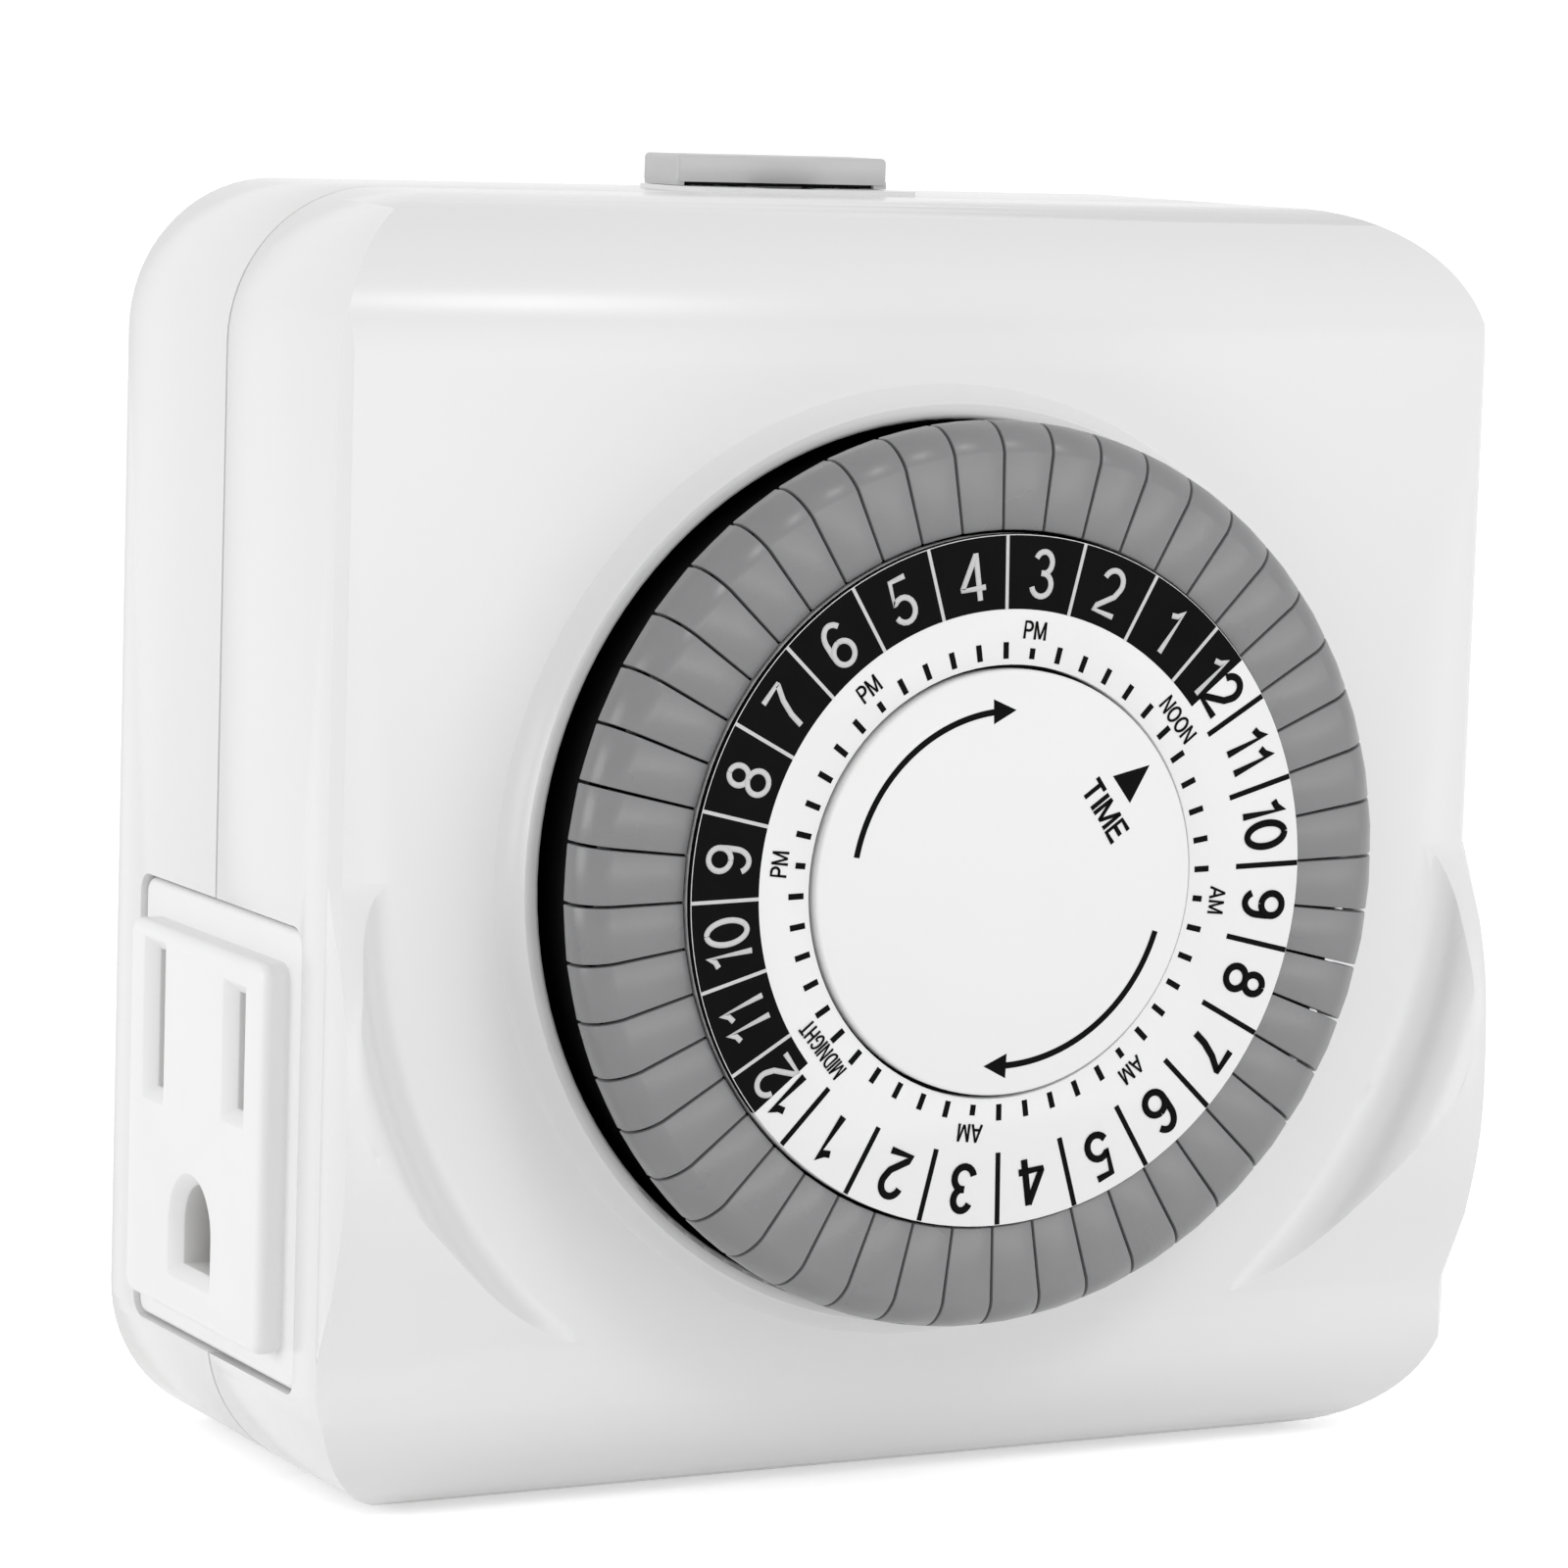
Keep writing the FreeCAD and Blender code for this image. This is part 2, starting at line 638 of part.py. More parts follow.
profile.rotate(V(0, 0, 0), V(0, 1, 0), -90)


def facet(side):
    """One flat half of a tripper, which falls away a little from the ridge on its middle line."""
    reach = tripper_outer_radius * math.sin(math.radians(pitch_angle / 4)) + 0.3
    near = profile.copy()
    near.translate(V(-side * reach, -tripper_crown * reach, 0))
    slab = near.extrude(V(side * 2 * reach, tripper_crown * 2 * reach, 0))
    slab = at_angle(slab, side * pitch_angle / 4)
    slab.translate(V(0, tripper_crown * stem_outer_radius * math.sin(math.radians(pitch_angle / 4)), 0))
    edge = math.radians(pitch_angle - gap_angle) / 2
    far = 2 * tripper_outer_radius
    side_plane = V(side * far * math.sin(edge), skirt_y - 10, far * math.cos(edge))
    wedge = polygon([V(0, skirt_y - 10, 0), V(0, skirt_y - 10, far), side_plane]).extrude(V(0, 20, 0))
    return slab.common(wedge)


segment = facet(-1).fuse(facet(1))
stem = box(-stem_width / 2, stem_width / 2, skirt_y - 0.2, skirt_y + stem_length, stem_inner_radius,
           stem_outer_radius)
segment = segment.fuse(stem).removeSplitter()
for hour in range(1, 25):
    hour_angle = noon_angle - 15.0 * (hour - 12)
    pair = [at_angle(segment, hour_angle + side * pitch_angle / 2) for side in (-1, 1)]
    save("tripper_%02d" % hour, Part.makeCompound(pair))

# Gear train on the mechanism plate
def polar(x, z, distance, degrees):
    return x + distance * math.cos(math.radians(degrees)), z + distance * math.sin(math.radians(degrees))


pinion_pitch = pinion_teeth * ring_module / 2
drive_x, drive_z = polar(0, 0, ring_pitch + pinion_pitch, drive_direction)
clutch_pitch = clutch_teeth * clutch_module / 2
reduction_pinion_pitch = reduction_pinion_teeth * clutch_module / 2
red_x, red_z = polar(drive_x, drive_z, clutch_pitch + reduction_pinion_pitch, reduction_angle)
reduction_pitch = reduction_teeth * rotor_module / 2
rotor_pitch = rotor_pinion_teeth * rotor_module / 2
rot_x, rot_z = polar(red_x, red_z, reduction_pitch + rotor_pitch, rotor_angle)

pinion_phase = drive_direction + 180 + 180.0 / pinion_teeth
pinion = gear(pinion_teeth, ring_module, drive_x, drive_z, ring_front - 0.3, ring_back + 0.3, pinion_phase)
shaft = y_rod(drive_shaft_radius, drive_x, drive_z, ring_back, cover_y - 0.3)
stub = y_rod(axle_radius, drive_x, drive_z, cover_y - 0.5, cover_y + cover_thickness)
collar = y_rod(drive_shaft_radius + 0.9, drive_x, drive_z, ring_back, plate_y - body_gap)
save("drive_pinion", joined([pinion, collar, shaft, stub]))

clutch_y = plate_back + 0.6
clutch = gear(clutch_teeth, clutch_module, drive_x, drive_z, clutch_y, clutch_y + wheel_thickness, reduction_angle,
              steps=0)
clutch = clutch.cut(y_rod(drive_shaft_radius + running_clearance, drive_x, drive_z, clutch_y - 1,
                          clutch_y + wheel_thickness + 1))
save("clutch_wheel", clutch)

reduction_phase = reduction_angle + 180 + 180.0 / reduction_pinion_teeth
small = gear(reduction_pinion_teeth, clutch_module, red_x, red_z, clutch_y - 0.2, clutch_y + wheel_thickness + 0.6,
             reduction_phase)
wheel_y = clutch_y + wheel_thickness + 0.6
big = gear(reduction_teeth, rotor_module, red_x, red_z, wheel_y, wheel_y + 1.2, rotor_angle, steps=0)
reduction = small.fuse(big).cut(y_rod(axle_radius + running_clearance, red_x, red_z, clutch_y - 1, wheel_y + 2))
save("reduction_gear", reduction.removeSplitter())

rotor_phase = rotor_angle + 180 + 180.0 / rotor_pinion_teeth
core_y = cover_y + cover_thickness + 0.5
core_back = core_y + core_thickness
rotor = joined([
    gear(rotor_pinion_teeth, rotor_module, rot_x, rot_z, wheel_y - 0.2, wheel_y + 1.4, rotor_phase),
    y_rod(0.6, rot_x, rot_z, plate_back + 0.3, core_back + 1.0),
    y_rod(rotor_radius, rot_x, rot_z, core_y, core_back)])
save("motor_rotor", rotor)

core_left = rot_x - core_side
core_right = core_left + core_reach + core_arm + 6
core_low = rot_z - core_height / 2
core = box(core_left, core_right, core_y, core_back, core_low, core_low + core_height)
window = box(rot_x + core_side, core_right - core_arm, core_y - 1, core_back + 1, core_low + core_arm,
             core_low + core_height - core_arm)
core = core.cut(window).cut(y_rod(rotor_radius + rotor_gap, rot_x, rot_z, core_y - 1, core_back + 1))
save("motor_core", core)

limb_x = core_right - core_arm / 2
limb_y = (core_y + core_back) / 2
coil_low = core_low + core_arm + 0.05
coil_high = core_low + core_height - core_arm - 0.05
half_w = coil_width / 2
half_d = coil_depth / 2
winding = box(limb_x - half_w + 1, limb_x + half_w - 1, limb_y - half_d + 1, limb_y + half_d - 1,
              coil_low + coil_flange, coil_high - coil_flange)
winding = winding.makeFillet(2.5, edges_along(winding, V(0, 0, 1)))
coil = winding
for z0 in (coil_low, coil_high - coil_flange):
    coil = coil.fuse(box(limb_x - half_w, limb_x + half_w, limb_y - half_d, limb_y + half_d, z0, z0 + coil_flange))
coil = coil.cut(box(limb_x - core_arm / 2 - 0.05, limb_x + core_arm / 2 + 0.05, core_y - 0.05, core_back + 0.05,
                    coil_low - 1, coil_high + 1))
save("motor_coil", coil.removeSplitter())

# Mechanism plate
inside = half_width - wall - 1.0
upper = polygon([
    V(-inside, plate_y, 3), V(-inside, plate_y, boss_top - 5), V(-inside + 6, plate_y, z_top - wall - 1.2),
    V(inside - 6, plate_y, z_top - wall - 1.2), V(inside, plate_y, boss_top - 5), V(inside, plate_y, 3),
    V(16.5, plate_y, 3), V(16.5, plate_y, z_bottom + wall + 1), V(-16.5, plate_y, z_bottom + wall + 1),
    V(-16.5, plate_y, 3)])
plate = upper.extrude(V(0, plate_thickness, 0))
stem_mid = (stem_inner_radius + stem_outer_radius) / 2
lever_x = stem_mid * math.sin(math.radians(lever_angle))
lever_z = stem_mid * math.cos(math.radians(lever_angle))
finger_z = z_top - wall - roof_gap - finger_height
pivot_z = finger_z - lever_reach
pivot_y = plate_back + 4.0
plate = plate.cut(box(lever_x - lever_width / 2 - 0.6, lever_x + lever_width / 2 + 0.6, plate_y - 1, plate_back + 1,
                      lever_z - 3.4, lever_z + 4.6))
plate = plate.cut(y_rod(drive_shaft_radius + running_clearance, drive_x, drive_z, plate_y - 1, plate_back + 1))
plate = plate.cut(y_rod(post_radius - 0.48, 0, 0, plate_y - 1, plate_back + 1))
for x, z in boss_places:
    plate = plate.cut(y_rod(boss_radius + 0.4, x, z, plate_y - 1, plate_back + 1))
for x, z in post_places:
    plate = plate.cut(y_rod(screw_radius, x, z, plate_y - 1, plate_back + 1))
for side in (-1, 1):
    plate = plate.fuse(box(lever_x + side * (lever_width / 2 + 1.3) - 0.8, lever_x + side * (lever_width / 2 + 1.3) + 0.8,
                           plate_back - 0.2, pivot_y + 2.0, pivot_z - 2.2, pivot_z + 2.2))
plate = plate.cut(x_rod(lever_pin_radius, pivot_y, pivot_z, lever_x - 6, lever_x + 6))
save("mechanism_plate", plate.removeSplitter())

cover_right = red_x + reduction_pitch - 1.2
cover = box(core_left + 0.5, cover_right, cover_y, cover_y + cover_thickness, core_low - 1, drive_z + 3.5)
cover = cover.cut(y_rod(0.75, rot_x, rot_z, cover_y - 1, cover_y + 2))
cover = cover.cut(y_rod(axle_radius + running_clearance, drive_x, drive_z, cover_y - 1, cover_y + 2))
pillars = [(core_left + 2.0, core_low + 1.5), (cover_right - 1.0, drive_z + 2.6), (cover_right - 1.2, core_low + 0.6)]
for x, z in pillars:
    cover = cover.fuse(y_rod(1.3, x, z, plate_back, cover_y + 0.2))
save("gear_cover", cover.removeSplitter())
axle = y_rod(axle_radius, red_x, red_z, plate_back, cover_y)
save("reduction_axle", axle)

# Switch lever, pin and contacts
lever_half = lever_width / 2
foot_y = skirt_y + stem_length + tripper_travel + body_gap
arm_y = plate_back + 1.2
lever = joined([
    x_rod(lever_boss_radius, pivot_y, pivot_z, lever_x - lever_half, lever_x + lever_half),
    box(lever_x - lever_half, lever_x + lever_half, arm_y, arm_y + 2.2, lever_z - 1.8, pivot_z),
    box(lever_x - lever_half, lever_x + lever_half, foot_y, arm_y + 1, lever_z - 1.8, lever_z + 1.2),
    box(lever_x - lever_half, lever_x + lever_half, arm_y + 1.2, arm_y + lever_nose, lever_z - 1.8, lever_z + 0.2),
    box(lever_x - lever_half, lever_x + lever_half, pivot_y - 1.0, pivot_y + 1.0, pivot_z, pivot_z + lever_tail)])
lever = lever.cut(x_rod(lever_pin_radius + running_clearance, pivot_y, pivot_z, lever_x - 4, lever_x + 4))
save("switch_lever", lever)
save("lever_pin", x_rod(lever_pin_radius, pivot_y, pivot_z, lever_x - lever_half - 2.1, lever_x + lever_half + 2.1))

leaf_y = arm_y + lever_nose + body_gap
leaf_z0 = leaf_foot
leaf_top = lever_z + 1.0
leaf = box(lever_x - 2, lever_x + 2, leaf_y, leaf_y + leaf_thickness, leaf_z0 + 0.5, leaf_top)
rivet_z = leaf_top - 2.2
leaf = leaf.fuse(y_rod(1.4, lever_x, rivet_z, leaf_y - 0.1, leaf_y + 1.2))
save("contact_leaf", leaf.removeSplitter())
bus_y = leaf_y + leaf_thickness + 0.05

strip_y = y_rear_in - strip_setback
t = strip_thickness
leaf_shift = (rivet_z - leaf_z0) * math.sin(math.radians(leaf_swing))
save("fixed_contact", y_rod(1.6, lever_x, rivet_z, leaf_y + 1.2 + leaf_shift + contact_gap, strip_y))
blade_in = strip_y + t
line_strip = joined([
    box(hot_x - 2, lever_x + 2.2, strip_y, strip_y + t, -0.5, 7.0),
    box(lever_x - 2.2, lever_x + 2.2, strip_y, strip_y + t, 6.5, rivet_z + 2.2)])
save("line_strip", line_strip)


def blade(x, height):
    """A flat blade with rounded tip edges and a hole near the tip."""
    z0, z1 = plug_line_height - height / 2, plug_line_height + height / 2
    body = box(x - blade_thickness / 2, x + blade_thickness / 2, blade_in, blade_length, z0, z1)
    tip = [e for e in body.Edges if e.CenterOfMass.y > blade_length - 0.001]
    body = body.makeChamfer(0.5, tip)
    return body.cut(x_rod(blade_hole_radius, blade_length - blade_hole_setback, plug_line_height, x - 2, x + 2))


save("hot_blade", blade(hot_x, hot_blade_height))
save("neutral_blade", blade(-hot_x, neutral_blade_height))
ground_y = y_rear_in - ground_setback
pin = y_rod(ground_pin_radius, 0, plug_ground_z, ground_shoulder_gap, ground_pin_length)
end = [e for e in pin.Edges if e.CenterOfMass.y > ground_pin_length - 0.001]
pin = pin.makeChamfer(ground_pin_tip, end)
pin = pin.fuse(y_rod(ground_shank_radius, 0, plug_ground_z, ground_y + t, ground_shoulder_gap + 1))
save("ground_pin", pin.removeSplitter())

block_z1 = plug_line_height + 5.5
block = box(-block_width / 2, block_width / 2, -rear_wall - block_depth + 2.5, -rear_wall, block_z1 - block_height,
            block_z1)
for x, height in ((hot_x, hot_blade_height), (-hot_x, neutral_blade_height)):
    block = block.cut(box(x - blade_thickness / 2 - 0.02, x + blade_thickness / 2 + 0.02, -20, 1,
                          plug_line_height - height / 2 - 0.02, plug_line_height + height / 2 + 0.02))
block = block.cut(y_rod(ground_shank_radius + 0.02, 0, plug_ground_z, -20, 1))
block = block.cut(box(-3.2, 3.2, -20, ground_y + t + 0.3, plug_ground_z - 14, plug_ground_z + 3.2))
save("blade_block", block)


def clip(y, z, height, opening, x0):
    """Two sprung leaves that grip one blade, reaching outward from a bus strip."""
    leaves = []
    for side in (-1, 1):
        inner = y + side * opening / 2
        y0, y1 = sorted((inner, inner + side * clip_thickness))
        leaves.append(box(x0 - clip_length, x0, y0, y1, z - height / 2, z + height / 2))
    root_plate = box(x0 - 0.5, x0 + 0.3, y - opening / 2 - clip_thickness, y + opening / 2 + clip_thickness,
                     z - height / 2, z + height / 2)
    return leaves + [root_plate]


root_x = x_back - 0.2
neutral_right_y = 2 * outlet_y - neutral_y
hot_right_y = 2 * outlet_y - hot_y
mid = root_x + 0.3
w = strip_width


def on_right(shapes):
    return [other_side(s) for s in shapes]


neutral_z = slot_z - 0.6
lane = neutral_z - w / 2
neutral_clip = clip(neutral_y, slot_z, clip_height, clip_opening, root_x)
neutral_bus = joined(neutral_clip + on_right(neutral_clip) + [
    box(-hot_x - 2.2, -hot_x + 2.2, strip_y, blade_in, lane, 7.0),
    box(mid, -mid, strip_y, blade_in, lane - 2, lane + w - 2),
    box(mid, mid + t, min(strip_y, neutral_y - 1), max(blade_in, neutral_y + 1), lane - 2, lane + w - 1),
    box(-mid - t, -mid, neutral_right_y - 1, blade_in, lane - 2, lane + w - 1)])
save("neutral_bus", neutral_bus)

hot_lane = slot_z + 1.6
hot_clip = clip(hot_y, slot_z, clip_height, clip_opening, root_x)
hot_bus = joined(hot_clip + on_right(hot_clip) + [
    box(lever_x - 2, lever_x + 2, bus_y, bus_y + t, hot_lane, leaf_z0 + 0.5 - foot_joint),
    box(lever_x - 2, lever_x + 2, leaf_y, bus_y + 0.1, hot_lane + w, leaf_z0 + 0.5 - foot_joint),
    box(mid, -mid, bus_y, bus_y + t, hot_lane, hot_lane + w),
    box(mid, mid + t, hot_y - 1, bus_y + t, hot_lane - 1, hot_lane + w),
    box(-mid - t, -mid, bus_y, hot_right_y + 1, hot_lane - 1, hot_lane + w)])
save("hot_bus", hot_bus)

ground_clip = clip(outlet_y, ground_z, 4.4, ground_pin_radius * 2 - 0.2, root_x)
ground_bus = joined(ground_clip + on_right(ground_clip) + [
    box(-2.6, 2.6, ground_y, ground_y + t, ground_z - 2, plug_ground_z + 2.6),
    box(mid, -mid, ground_y, ground_y + t, ground_z - 2, ground_z + 2),
    box(mid, mid + t, outlet_y - 1, ground_y + t, ground_z - 2, ground_z + 2),
    box(-mid - t, -mid, outlet_y - 1, ground_y + t, ground_z - 2, ground_z + 2)])
save("ground_bus", ground_bus)

# Override slide on the top
gap_z = z_top + track_height + track_gap
cap_block = box(-slide_width / 2, slide_width / 2, slide_y0, slide_y0 + slide_depth, gap_z,
                gap_z + slide_height)
cap_block = cap_block.makeFillet(slide_edge, [e for e in cap_block.Edges if e.CenterOfMass.z > gap_z + 0.1])
rails = []
for x0, x1 in ((-slide_width / 2, -slide_width / 2 + 0.5), (slide_width / 2 - 0.9, slide_width / 2)):
    rails.append(box(x0, x1, slide_y0 + 0.1, slide_y0 + slide_depth - 0.3, z_top + track_height + 0.03, gap_z + 0.2))
slide_leg = box(-slide_stem_width / 2, slide_stem_width / 2, stem_y0, stem_y0 + slide_stem_depth, finger_z,
                gap_z + 0.2)
slide_finger = box(-slide_stem_width / 2, lever_x + 1.5, stem_y0, stem_y0 + slide_stem_depth, finger_z,
                   finger_z + finger_height)
lever_tail_y = pivot_y + 1.0
free_travel = slide_travel - (finger_z - pivot_z) * math.sin(math.radians(lever_swing))
reach = box(lever_x - 1.5, lever_x + 1.5, lever_tail_y + free_travel + body_gap, stem_y0 + 0.5, finger_z,
            finger_z + finger_height)
save("override_slide", joined([cap_block] + rails + [slide_leg, slide_finger, reach]))

# Fasteners
def screw(x, z, y_head, length, radius, head, head_height):
    body = y_rod(radius, x, z, y_head - length, y_head)
    top = y_rod(head, x, z, y_head, y_head + head_height)
    slot_a = box(x - 0.35, x + 0.35, y_head + head_height * 0.5, y_head + head_height + 1, z - head * 0.6, z + head * 0.6)
    slot_b = box(x - head * 0.6, x + head * 0.6, y_head + head_height * 0.5, y_head + head_height + 1, z - 0.35, z + 0.35)
    return body.fuse(top).cut(slot_a).cut(slot_b).removeSplitter()


seat = -screw_head_height - 1.2
save("housing_screws", Part.makeCompound([
    screw(x, z, seat, 20.0, screw_radius - 0.02, screw_head_radius, screw_head_height) for x, z in boss_places]))
save("plate_screws", Part.makeCompound([
    screw(x, z, plate_back, 5.5, screw_radius * 0.7 - 0.02, 2.0, 1.2) for x, z in post_places]))
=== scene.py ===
import json
import math

import bpy
from mathutils import Matrix, Vector


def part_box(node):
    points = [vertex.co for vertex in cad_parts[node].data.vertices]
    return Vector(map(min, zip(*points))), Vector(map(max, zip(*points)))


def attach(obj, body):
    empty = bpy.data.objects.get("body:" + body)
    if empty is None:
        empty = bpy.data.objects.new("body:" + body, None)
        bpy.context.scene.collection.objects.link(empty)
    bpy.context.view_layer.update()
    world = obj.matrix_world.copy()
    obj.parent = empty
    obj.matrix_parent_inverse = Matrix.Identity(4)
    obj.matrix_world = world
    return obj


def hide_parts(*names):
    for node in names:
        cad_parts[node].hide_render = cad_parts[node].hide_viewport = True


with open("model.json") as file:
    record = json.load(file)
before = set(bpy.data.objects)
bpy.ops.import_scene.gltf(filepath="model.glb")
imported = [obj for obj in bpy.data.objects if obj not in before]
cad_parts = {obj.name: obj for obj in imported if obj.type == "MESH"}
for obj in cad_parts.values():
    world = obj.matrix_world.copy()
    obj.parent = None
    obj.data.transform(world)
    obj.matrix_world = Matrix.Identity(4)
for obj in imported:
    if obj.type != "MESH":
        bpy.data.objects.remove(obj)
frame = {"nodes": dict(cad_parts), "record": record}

bl_info = {
    "name": "Plug-in Timer Finish",
    "version": (1, 0, 0),
    "blender": (4, 5, 0),
    "location": "3D View > Sidebar > Timer",
    "description": "Moulded finishes, dial printing and a studio for a 24 hour plug-in timer",
    "category": "Object",
}

MM = 0.001
nodes = frame["nodes"]
body_of_node = {n: b for b, names in frame["record"]["behaviour"]["bodies"].items() for n in names}
trippers = sorted(n for n in nodes if n.startswith("tripper_"))

disc_low, disc_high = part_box("number_disc")
disc_face = disc_low.y
disc_radius = disc_high.x
cap_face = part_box("centre_disc")[0].y
floor_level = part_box("rear_housing")[0].z


# Settings that a user would change
class TimerColours(bpy.types.PropertyGroup):
    """Base colours of the moulded and printed surfaces."""
    housing: bpy.props.FloatVectorProperty(
        name="Housing", description="White of the two housing shells", subtype="COLOR", size=3,
        default=(0.80, 0.80, 0.80), min=0.0, max=1.0)
    outlet: bpy.props.FloatVectorProperty(
        name="Outlet", description="White of the outlet inserts", subtype="COLOR", size=3,
        default=(0.86, 0.86, 0.86), min=0.0, max=1.0)
    disc: bpy.props.FloatVectorProperty(
        name="Discs", description="White of the number disc and the centre disc", subtype="COLOR", size=3,
        default=(0.84, 0.84, 0.84), min=0.0, max=1.0)
    tripper: bpy.props.FloatVectorProperty(
        name="Trippers", description="Grey of the push-in segments", subtype="COLOR", size=3,
        default=(0.22, 0.22, 0.225), min=0.0, max=1.0)
    slide: bpy.props.FloatVectorProperty(
        name="Override", description="Grey of the override slide", subtype="COLOR", size=3,
        default=(0.55, 0.55, 0.555), min=0.0, max=1.0)
    # The same black is also the colour of the painted shade under the override slide's cap
    ink: bpy.props.FloatVectorProperty(
        name="Black print", description="Black ink and the black carrier", subtype="COLOR", size=3,
        default=(0.002, 0.002, 0.002), min=0.0, max=1.0)
    pale_ink: bpy.props.FloatVectorProperty(
        name="White print", description="White ink on the black half", subtype="COLOR", size=3,
        default=(0.62, 0.62, 0.62), min=0.0, max=1.0)


class TimerPrint(bpy.types.PropertyGroup):
    """Sizes of the printing on the dial."""
    numeral_height: bpy.props.FloatProperty(
        name="Numeral height", description="Height of the hour numerals", default=3.0 * MM, min=0.0005,
        max=0.01, unit="LENGTH")
    numeral_radius: bpy.props.FloatProperty(
        name="Numeral radius", description="Distance of the numerals' middle from the axis",
        default=18.6 * MM, min=0.005, max=0.05, unit="LENGTH")
    numeral_width: bpy.props.FloatProperty(
        name="Numeral width", description="Width of the numerals against their plain width", default=1.0,
        min=0.2, max=2.0, subtype="FACTOR")
    ring_radius: bpy.props.FloatProperty(
        name="Ring radius", description="Inner radius of the printed hour ring", default=16.43 * MM,
        min=0.005, max=0.05, unit="LENGTH")
    rim: bpy.props.FloatProperty(
        name="White rim", description="Bare rim outside the printed ring", default=0.06 * MM, min=0.0,
        max=0.002, unit="LENGTH")
    pale_line: bpy.props.FloatProperty(
        name="White divider", description="Width of the white hour lines", default=0.22 * MM, min=0.00005,
        max=0.001, unit="LENGTH")
    dark_line: bpy.props.FloatProperty(
        name="Black divider", description="Width of the black hour lines", default=0.33 * MM, min=0.00005,
        max=0.001, unit="LENGTH")
    tick_length: bpy.props.FloatProperty(
        name="Tick length", description="Length of the half hour ticks", default=1.0 * MM, min=0.0002,
        max=0.003, unit="LENGTH")
    tick_width: bpy.props.FloatProperty(
        name="Tick width", description="Width of the half hour ticks", default=0.36 * MM, min=0.00005,
        max=0.001, unit="LENGTH")
    noon_angle: bpy.props.FloatProperty(
        name="Noon angle", description="Angle of noon clockwise from the top", default=math.radians(51.15),
        subtype="ANGLE")


class TimerStudio(bpy.types.PropertyGroup):
    """Camera, lamps and world."""
    camera_place: bpy.props.FloatVectorProperty(
        name="Camera", description="Place of the camera", default=(-0.17792, -0.34939, 0.04876), size=3,
        subtype="TRANSLATION", unit="LENGTH")
    camera_turn: bpy.props.FloatVectorProperty(
        name="Camera turn", description="Turn of the camera", size=3, subtype="EULER",
        default=(math.radians(83.0411), math.radians(-1.8312), math.radians(-27.7369)))
    lens: bpy.props.FloatProperty(
        name="Lens", description="Focal length on a 36 mm sensor, in millimetres", default=137.385, min=20.0,
        max=400.0)
    key_power: bpy.props.FloatProperty(
        name="Key lamp", description="Power of the small lamp above the front, in watts", default=0.42,
        min=0.0)
    front_power: bpy.props.FloatProperty(
        name="Front lamp", description="Power of the large front lamp, in watts", default=1.05, min=0.0)
    low_power: bpy.props.FloatProperty(
        name="Low lamp", description="Power of the strip near the floor in front, in watts", default=0.28,
        min=0.0)
    side_power: bpy.props.FloatProperty(
        name="Side lamp", description="Power of the wide lamp on the left, in watts", default=1.5, min=0.0)
    world_strength: bpy.props.FloatProperty(
        name="World", description="Strength of the white surround", default=0.70, min=0.0)


# Selecting and editing by hand
def alone(piece):
    """Only this piece is selected and active."""
    bpy.ops.object.select_all(action="DESELECT")
    piece.select_set(True)
    bpy.context.view_layer.objects.active = piece


def place(piece, matrix):
    """Moves a new piece by a matrix and writes its place into its mesh."""
    alone(piece)
    piece.matrix_world = matrix @ piece.matrix_world
    bpy.ops.object.transform_apply(location=True, rotation=True, scale=True)
    return piece


def clockwise(angle, radius=0.0, y=0.0):
    """Up becomes a direction turned clockwise about the dial's axis, moved out by a radius."""
    return Matrix.Rotation(angle, 4, "Y") @ Matrix.Translation((0.0, y, radius))


def facing_front():
    """Lays what is drawn on the floor plane upright, so that it faces the front."""
    return Matrix.Rotation(math.pi / 2, 4, "X")


def join(pieces, name):
    """Several pieces of like kind as one."""
    bpy.ops.object.select_all(action="DESELECT")
    for piece in pieces:
        piece.select_set(True)
    bpy.context.view_layer.objects.active = pieces[0]
    if len(pieces) > 1:
        bpy.ops.object.join()
    pieces[0].name = name
    return pieces[0]


def finish_piece(piece, material, node):
    """Gives a new piece its material, and the body of the solid that it belongs to."""
    piece.data.materials.clear()
    piece.data.materials.append(material)
    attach(piece, body_of_node[node])
    return piece


def eased(piece, width, segments=2, limit=32.0):
    """Rounds every sharp edge a little."""
    alone(piece)
    bevel = piece.modifiers.new("eased edges", "BEVEL")
    bevel.width = width
    bevel.segments = segments
    bevel.limit_method = "ANGLE"
    bevel.angle_limit = math.radians(limit)
    bevel.use_clamp_overlap = True
    bpy.ops.object.modifier_apply(modifier=bevel.name)


def round_edges(piece, chosen, width, segments):
    """Rounds the edges whose two ends pass a test."""
    alone(piece)
    bpy.ops.object.mode_set(mode="EDIT")
    bpy.ops.mesh.select_mode(type="EDGE")
    bpy.ops.mesh.select_all(action="DESELECT")
    bpy.ops.object.mode_set(mode="OBJECT")
    points = piece.data.vertices
    for edge in piece.data.edges:
        edge.select = chosen(points[edge.vertices[0]].co, points[edge.vertices[1]].co)
    bpy.ops.object.mode_set(mode="EDIT")
    bpy.ops.mesh.bevel(offset=width, segments=segments, affect="EDGES")
    bpy.ops.object.mode_set(mode="OBJECT")


def thicken(piece, offset):
    """Extrudes a flat piece by an offset and turns its faces outwards."""
    alone(piece)
    bpy.ops.object.mode_set(mode="EDIT")
    bpy.ops.mesh.select_all(action="SELECT")
    bpy.ops.mesh.extrude_region_move(TRANSFORM_OT_translate={"value": offset})
    bpy.ops.mesh.select_all(action="SELECT")
    bpy.ops.mesh.normals_make_consistent(inside=False)
    bpy.ops.object.mode_set(mode="OBJECT")


